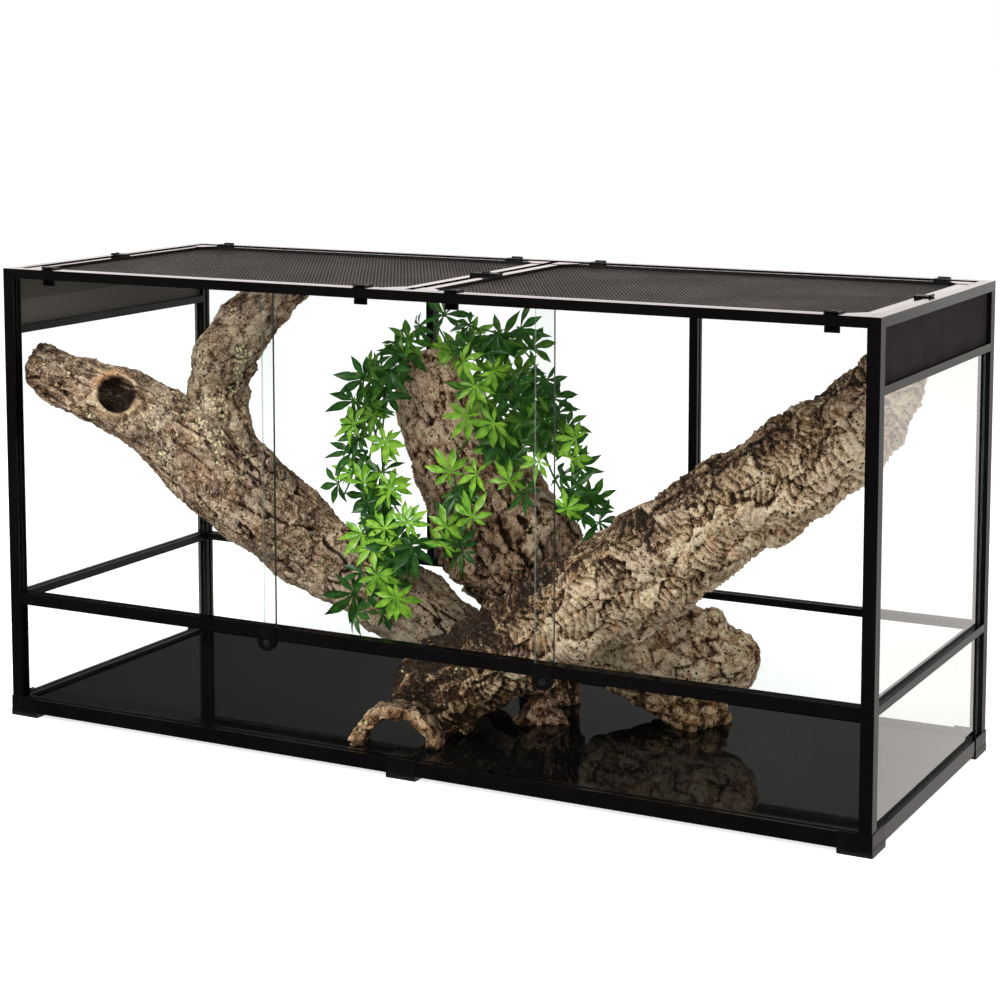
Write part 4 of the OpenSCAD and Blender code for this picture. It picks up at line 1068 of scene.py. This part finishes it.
def tube(path, radius):
    """A six-sided tube along a path, open at its ends."""
    path = np.array(path, float)
    ahead = np.gradient(path, axis=0)
    ahead /= np.linalg.norm(ahead, axis=1)[:, None]
    side = np.cross(ahead, [0.3, 0.9, 0.2])
    side /= np.linalg.norm(side, axis=1)[:, None]
    up = np.cross(ahead, side)
    a = np.arange(6) * math.pi / 3
    points = path[:, None] + radius * (side[:, None] * np.cos(a)[:, None] + up[:, None] * np.sin(a)[:, None])
    faces = [(i * 6 + k, i * 6 + (k + 1) % 6, i * 6 + 6 + (k + 1) % 6, i * 6 + 6 + k)
             for i in range(len(path) - 1) for k in range(6)]
    return points.reshape(-1, 3), faces


def vine(name, strands, leaves, seed):
    """Joins tubes and leaves; leaves are (place, stalk foot, lightness)."""
    rng = random.Random(seed)
    verts, faces, light, rib = [], [], [], []

    def take(points, made, lightness, ribs):
        base = len(light)
        verts.extend(points)
        faces.extend(tuple(i + base for i in f) for f in made)
        light.extend([lightness] * len(points))
        rib.extend(ribs)

    for line in strands:
        points, made = tube(smooth_line(line, 6), STRAND_R)
        take(points, made, 0.1, [0.0] * len(points))
    for place, foot, lightness in leaves:
        # Young leaves stand square to the light from the front, old ones hang at a slant.
        loose = 1.9 - lightness
        facing = Vector((0.35 + loose * rng.uniform(-0.55, 0.55), -1.0,
                         0.25 + loose * rng.uniform(-0.3, 0.6))).normalized()
        spin = Matrix.Rotation(math.radians(rng.uniform(0, 360)), 3, "Z")
        lean = facing.to_track_quat("Z", "X").to_matrix()
        shape, made, ribs = leaf(rng, LEAF_R * rng.uniform(0.66, 0.86 + 0.2 * (1 - lightness)))
        turned = shape @ np.array(lean @ spin).T + place
        turned = np.clip(turned, [*-ROOM, FLOOR], [*ROOM, CEILING])
        take(turned, made, lightness * rng.uniform(0.85, 1.0), ribs)
        middle = (np.array(place) + foot) / 2 + [0, 3, 5]
        points, stalk = tube(smooth_line([foot, middle, place], 3), STALK_R)
        take(points, stalk, 0.25, [0.0] * len(points))
    print(name, len(leaves), "leaves,", len(verts), "points")
    return new_mesh(name, verts, faces, light=light, rib=rib)


# %% [markdown]
# Each leaf hangs from the vine whose strand shows nearest to it. The light leaves stand a
# little nearer to the front than the dark ones, and most leaves of a crowd lie behind both.

# %% Leaves for both vines
leaves_left, leaves_right = [], []
vines = [(points, np.array([pixel_of(p) for p in points]), leaves)
         for points, leaves in ((right_points, leaves_right), (left_points, leaves_left))]


def nearest(px, py):
    """The strand point that shows nearest to a pixel, and the list of its vine's leaves."""
    found = []
    for points, seen, leaves in vines:
        gaps = np.hypot(seen[:, 0] - px, seen[:, 1] - py)
        found.append((gaps.min(), points[gaps.argmin()], leaves))
    return min(found, key=lambda each: each[0])[1:]


rng = random.Random(5)
for spots, lightness, stand in ((LIGHT_LEAVES, 1.0, 16), (DARK_LEAVES, 0.0, 4)):
    for px, py in spots:
        foot, leaves = nearest(px, py)
        place = seen_at(px, py, foot[1] - stand - rng.uniform(0, 8))
        leaves.append((place, foot, lightness))
for mid_x, mid_y, half_x, half_y, count in CROWDS:
    for _ in range(count):
        bearing, out = rng.uniform(0, 2 * math.pi), math.sqrt(rng.random())
        px, py = mid_x + half_x * out * math.cos(bearing), mid_y + half_y * out * math.sin(bearing)
        foot, leaves = nearest(px, py)
        place = seen_at(px, py, foot[1] + rng.uniform(-8, 14))
        leaves.append((place, foot, rng.choice((0.0, 0.1, 0.2, 0.5))))

vine_left = vine("left_vine", STRANDS_LEFT, leaves_left, 3)
vine_right = vine("right_vine", STRANDS_RIGHT, leaves_right, 4)

# %% [markdown]
# ## Printed leaf cloth
# The cloth is polyester, printed green and heat set with a thin resin that makes it shine
# a little. The ribs are printed lighter, and the print has darker patches between them.

# %% The leaves' material
def leaf_cloth(name):
    made, tree, out = material(name)
    place = add(tree, "TexCoord").outputs["Object"]
    light = add(tree, "Attribute", attribute_name="light").outputs["Fac"]
    rib = add(tree, "Attribute", attribute_name="rib").outputs["Fac"]
    print_patch = add(tree, "TexNoise", {"Vector": place, "Scale": 120.0, "Detail": 3.0})
    dark = ramp(tree, print_patch, [(0.3, "#143210"), (0.7, "#346a26")])
    fresh = ramp(tree, print_patch, [(0.3, "#4c8f1b"), (0.7, "#a2d03e")])
    body = add(tree, "Mix", {0: light, 6: dark, 7: fresh}, data_type="RGBA")
    shown = add(tree, "MapRange", {0: light, 1: 0.0, 2: 1.0, 3: 0.12, 4: 0.5})
    line = add(tree, "MapRange", {0: rib, 1: 0.75, 2: 1.0, 3: 0.0, 4: shown})
    body = add(tree, "Mix", {0: line, 6: body.outputs[2], 7: tone("#9fd05a")}, data_type="RGBA")
    skin = add(tree, "BsdfPrincipled", {"Base Color": body.outputs[2], "Roughness": 0.34})
    glow = add(tree, "BsdfTranslucent", {"Color": body.outputs[2]})
    cloth = add(tree, "MixShader", {0: 0.25, 1: skin, 2: glow})
    weave = add(tree, "TexNoise", {"Vector": place, "Scale": 900.0, "Detail": 1.0})
    relief = add(tree, "Bump", {"Strength": 0.25, "Distance": 0.0003, "Height": weave})
    tree.links.new(relief.outputs[0], skin.inputs["Normal"])
    tree.links.new(cloth.outputs[0], out.inputs["Surface"])
    return made


printed_cloth = leaf_cloth("printed_polyester_leaf")
print("leaves:", printed_cloth.name)
for piece, node in ((vine_left, "vine_left"), (vine_right, "vine_right")):
    piece.data.materials.append(printed_cloth)
    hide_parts(node)
    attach(piece, "enclosure")

# %% [markdown]
# ## Mesh of the lids
# The lids hold woven steel wire, coated dark grey-brown. On the real mesh the wires are
# 0.5 mm thick and 1.5 mm apart. Here they are 4.4 mm apart and 1.2 or 1.9 mm wide, so that
# about the same share of light comes through, and a render can still show that it is a
# mesh. The weave is too fine to see, so one layer of wires lies on the other. The wires run
# aslant, because the mesh was cut and fitted on the diagonal.

# %% Woven wires in each lid
WIRE_GAP, WIRE_T = 4.4, 0.5
# Each layer's lean in degrees, its height over the panel's middle, and its wires' width.
WIRE_LAYERS = ((60, -0.25, 1.2), (-60, 0.25, 1.9))


def wire_mesh(name, node):
    """Two layers of straight wires, cut to the size of the CAD panel."""
    low, high = (np.array(c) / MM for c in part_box(node))
    mid, half = (low + high) / 2, (high - low) / 2
    verts, faces = [], []
    for lean, level, wide in WIRE_LAYERS:
        way = np.array([math.cos(math.radians(lean)), math.sin(math.radians(lean))])
        across = np.array([-way[1], way[0]])
        reach = abs(across[0]) * half[0] + abs(across[1]) * half[1]
        count = int(reach / WIRE_GAP)
        for k in range(-count, count + 1):
            start = across * k * WIRE_GAP
            spans = [sorted(((-half[i] - start[i]) / way[i], (half[i] - start[i]) / way[i]))
                     for i in range(2)]
            t0, t1 = max(s[0] for s in spans), min(s[1] for s in spans)
            if t1 - t0 < WIRE_GAP:
                continue
            base = len(verts)
            for t in (t0 + 1, t1 - 1):
                for side, up in ((-1, -1), (1, -1), (1, 1), (-1, 1)):
                    flat = start + way * t + across * side * wide / 2
                    verts.append((mid[0] + flat[0], mid[1] + flat[1], mid[2] + level + up * WIRE_T / 2))
            faces += [(base + i, base + (i + 1) % 4, base + 4 + (i + 1) % 4, base + 4 + i) for i in range(4)]
            faces += [(base + 3, base + 2, base + 1, base), (base + 4, base + 5, base + 6, base + 7)]
    print(name, len(faces) // 6, "wires")
    return new_mesh(name, verts, faces, smooth=False)


def coated_wire(name):
    made, tree, out = material(name)
    place = add(tree, "TexCoord").outputs["Object"]
    cloudy = add(tree, "TexNoise", {"Vector": place, "Scale": 12.0, "Detail": 4.0})
    shade = ramp(tree, cloudy, [(0.35, "#2d2825"), (0.7, "#453e39")])
    skin = add(tree, "BsdfPrincipled", {"Base Color": shade, "Roughness": 0.48})
    tree.links.new(skin.outputs[0], out.inputs["Surface"])
    return made


dark_wire = coated_wire("coated_steel_wire")
for side in ("left", "right"):
    wires = wire_mesh("wires_" + side, "lid_mesh_" + side)
    wires.data.materials.append(dark_wire)
    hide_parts("lid_mesh_" + side)
    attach(wires, "lid_" + side)

# %% [markdown]
# ## Studio
# The set is white all round, as for a catalogue. The floor and the world show white to the
# camera. Gloss sees the same white low down, at the horizon, and a darker ceiling. A black
# card in front, which only gloss sees, keeps the front panes clear of reflections, as a
# photographer would hang it.

# %% Studio floor, world, card and lamps
def studio_floor():
    made, tree, out = material("studio_floor")
    kind = add(tree, "LightPath")
    seen = add(tree, "Math", {0: kind.outputs["Is Camera Ray"], 1: kind.outputs["Is Transmission Ray"]},
               operation="MAXIMUM")
    paint = add(tree, "BsdfDiffuse", {"Color": (0.8, 0.8, 0.8, 1)})
    glow = add(tree, "Emission", {"Color": (1, 1, 1, 1), "Strength": 0.72})
    mirrored = add(tree, "Emission", {"Color": tone("#e3deda"), "Strength": 1.05})
    both = add(tree, "AddShader", {0: paint, 1: glow})
    mixed = add(tree, "MixShader", {0: seen, 1: paint, 2: both})
    mixed = add(tree, "MixShader", {0: kind.outputs["Is Glossy Ray"], 1: mixed, 2: mirrored})
    tree.links.new(mixed.outputs[0], out.inputs["Surface"])
    bpy.ops.mesh.primitive_plane_add(size=60, location=(0, 0, 0))
    floor = bpy.context.object
    floor.name = "studio_floor"
    floor.data.materials.append(made)
    return floor


studio_floor()


def white_world():
    world = bpy.data.worlds.new("white_studio")
    bpy.context.scene.world = world
    world.use_nodes = True
    tree = world.node_tree
    tree.nodes.clear()
    out = add(tree, "OutputWorld")
    kind = add(tree, "LightPath")
    way = add(tree, "SeparateXYZ", {0: add(tree, "TexCoord").outputs["Generated"]})
    height = add(tree, "MapRange", {0: way.outputs["Z"], 1: 0.0, 2: 1.0})
    ceiling = ramp(tree, height, [(0.0, "#f8efec"), (0.13, "#f8efec"), (0.19, "#898986"),
                                  (0.5, "#91918e"), (0.8, "#9a9a9a")])
    # The ceiling is dimmer to the left. The wall low down is a lit screen.
    dim = add(tree, "MapRange", {0: way.outputs["X"], 1: -0.62, 2: -0.34, 3: 0.3, 4: 1.0})
    low = add(tree, "MapRange", {0: way.outputs["Z"], 1: 0.13, 2: 0.17, 3: 1.7, 4: dim})
    power = add(tree, "Mix", {0: kind.outputs["Is Glossy Ray"], 2: 1.0, 3: low}, data_type="FLOAT")
    shown = add(tree, "Math", {0: kind.outputs["Is Camera Ray"], 1: kind.outputs["Is Transmission Ray"]},
                operation="MAXIMUM")
    colour = add(tree, "Mix", {0: kind.outputs["Is Glossy Ray"], 6: (0.57, 0.56, 0.55, 1), 7: ceiling},
                 data_type="RGBA")
    colour = add(tree, "Mix", {0: shown, 6: colour.outputs[2], 7: (1, 1, 1, 1)}, data_type="RGBA")
    light = add(tree, "Background", {"Color": colour.outputs[2], "Strength": power})
    tree.links.new(light.outputs[0], out.inputs["Surface"])


white_world()


def black_card():
    made, tree, out = material("black_card")
    paint = add(tree, "BsdfDiffuse", {"Color": (0.004, 0.004, 0.004, 1)})
    tree.links.new(paint.outputs[0], out.inputs["Surface"])
    near, far, wide, low, tall = -235, -1000, 3500, 1, 2400
    card = new_mesh("black_card", [(-wide, near, low), (wide, near, low), (-wide, far, low),
                                   (wide, far, low), (-wide, far, tall), (wide, far, tall)],
                    [(0, 2, 3, 1), (2, 4, 5, 3)], smooth=False)
    card.data.materials.append(made)
    for kind in ("camera", "diffuse", "transmission", "volume_scatter", "shadow"):
        setattr(card, "visible_" + kind, False)
    return card


black_card()


def lamp(name, place, aim, size, power, glossy=True):
    data = bpy.data.lights.new(name, "AREA")
    data.shape, data.size, data.size_y, data.energy = "RECTANGLE", size[0], size[1], power
    made = bpy.data.objects.new(name, data)
    made.location = place
    made.rotation_euler = (Vector(aim) - Vector(place)).to_track_quat("-Z", "Y").to_euler()
    made.visible_glossy = glossy
    bpy.context.scene.collection.objects.link(made)


lamp("key_above_front", (-1.2, -2.0, 2.6), (0, 0, 0.25), (1.2, 1.0), 128)
lamp("fill_from_camera", (1.7, -3.1, 1.0), (0, 0, 0.3), (1.2, 1.2), 44, False)
lamp("fill_from_right", (2.6, -0.6, 1.6), (0, 0, 0.3), (1.5, 1.5), 18, False)
lamp("panel_right_rear", (3.1, 4.4, 0.5), (0.4, 0, 0.3), (3.2, 1.6), 4)
print("lamps:", [light.name for light in bpy.data.lights])

# %% [markdown]
# ## The view
# Colours are shown with the Standard view transform.

# %% View transform
view = bpy.context.scene.view_settings
view.view_transform = "Standard"
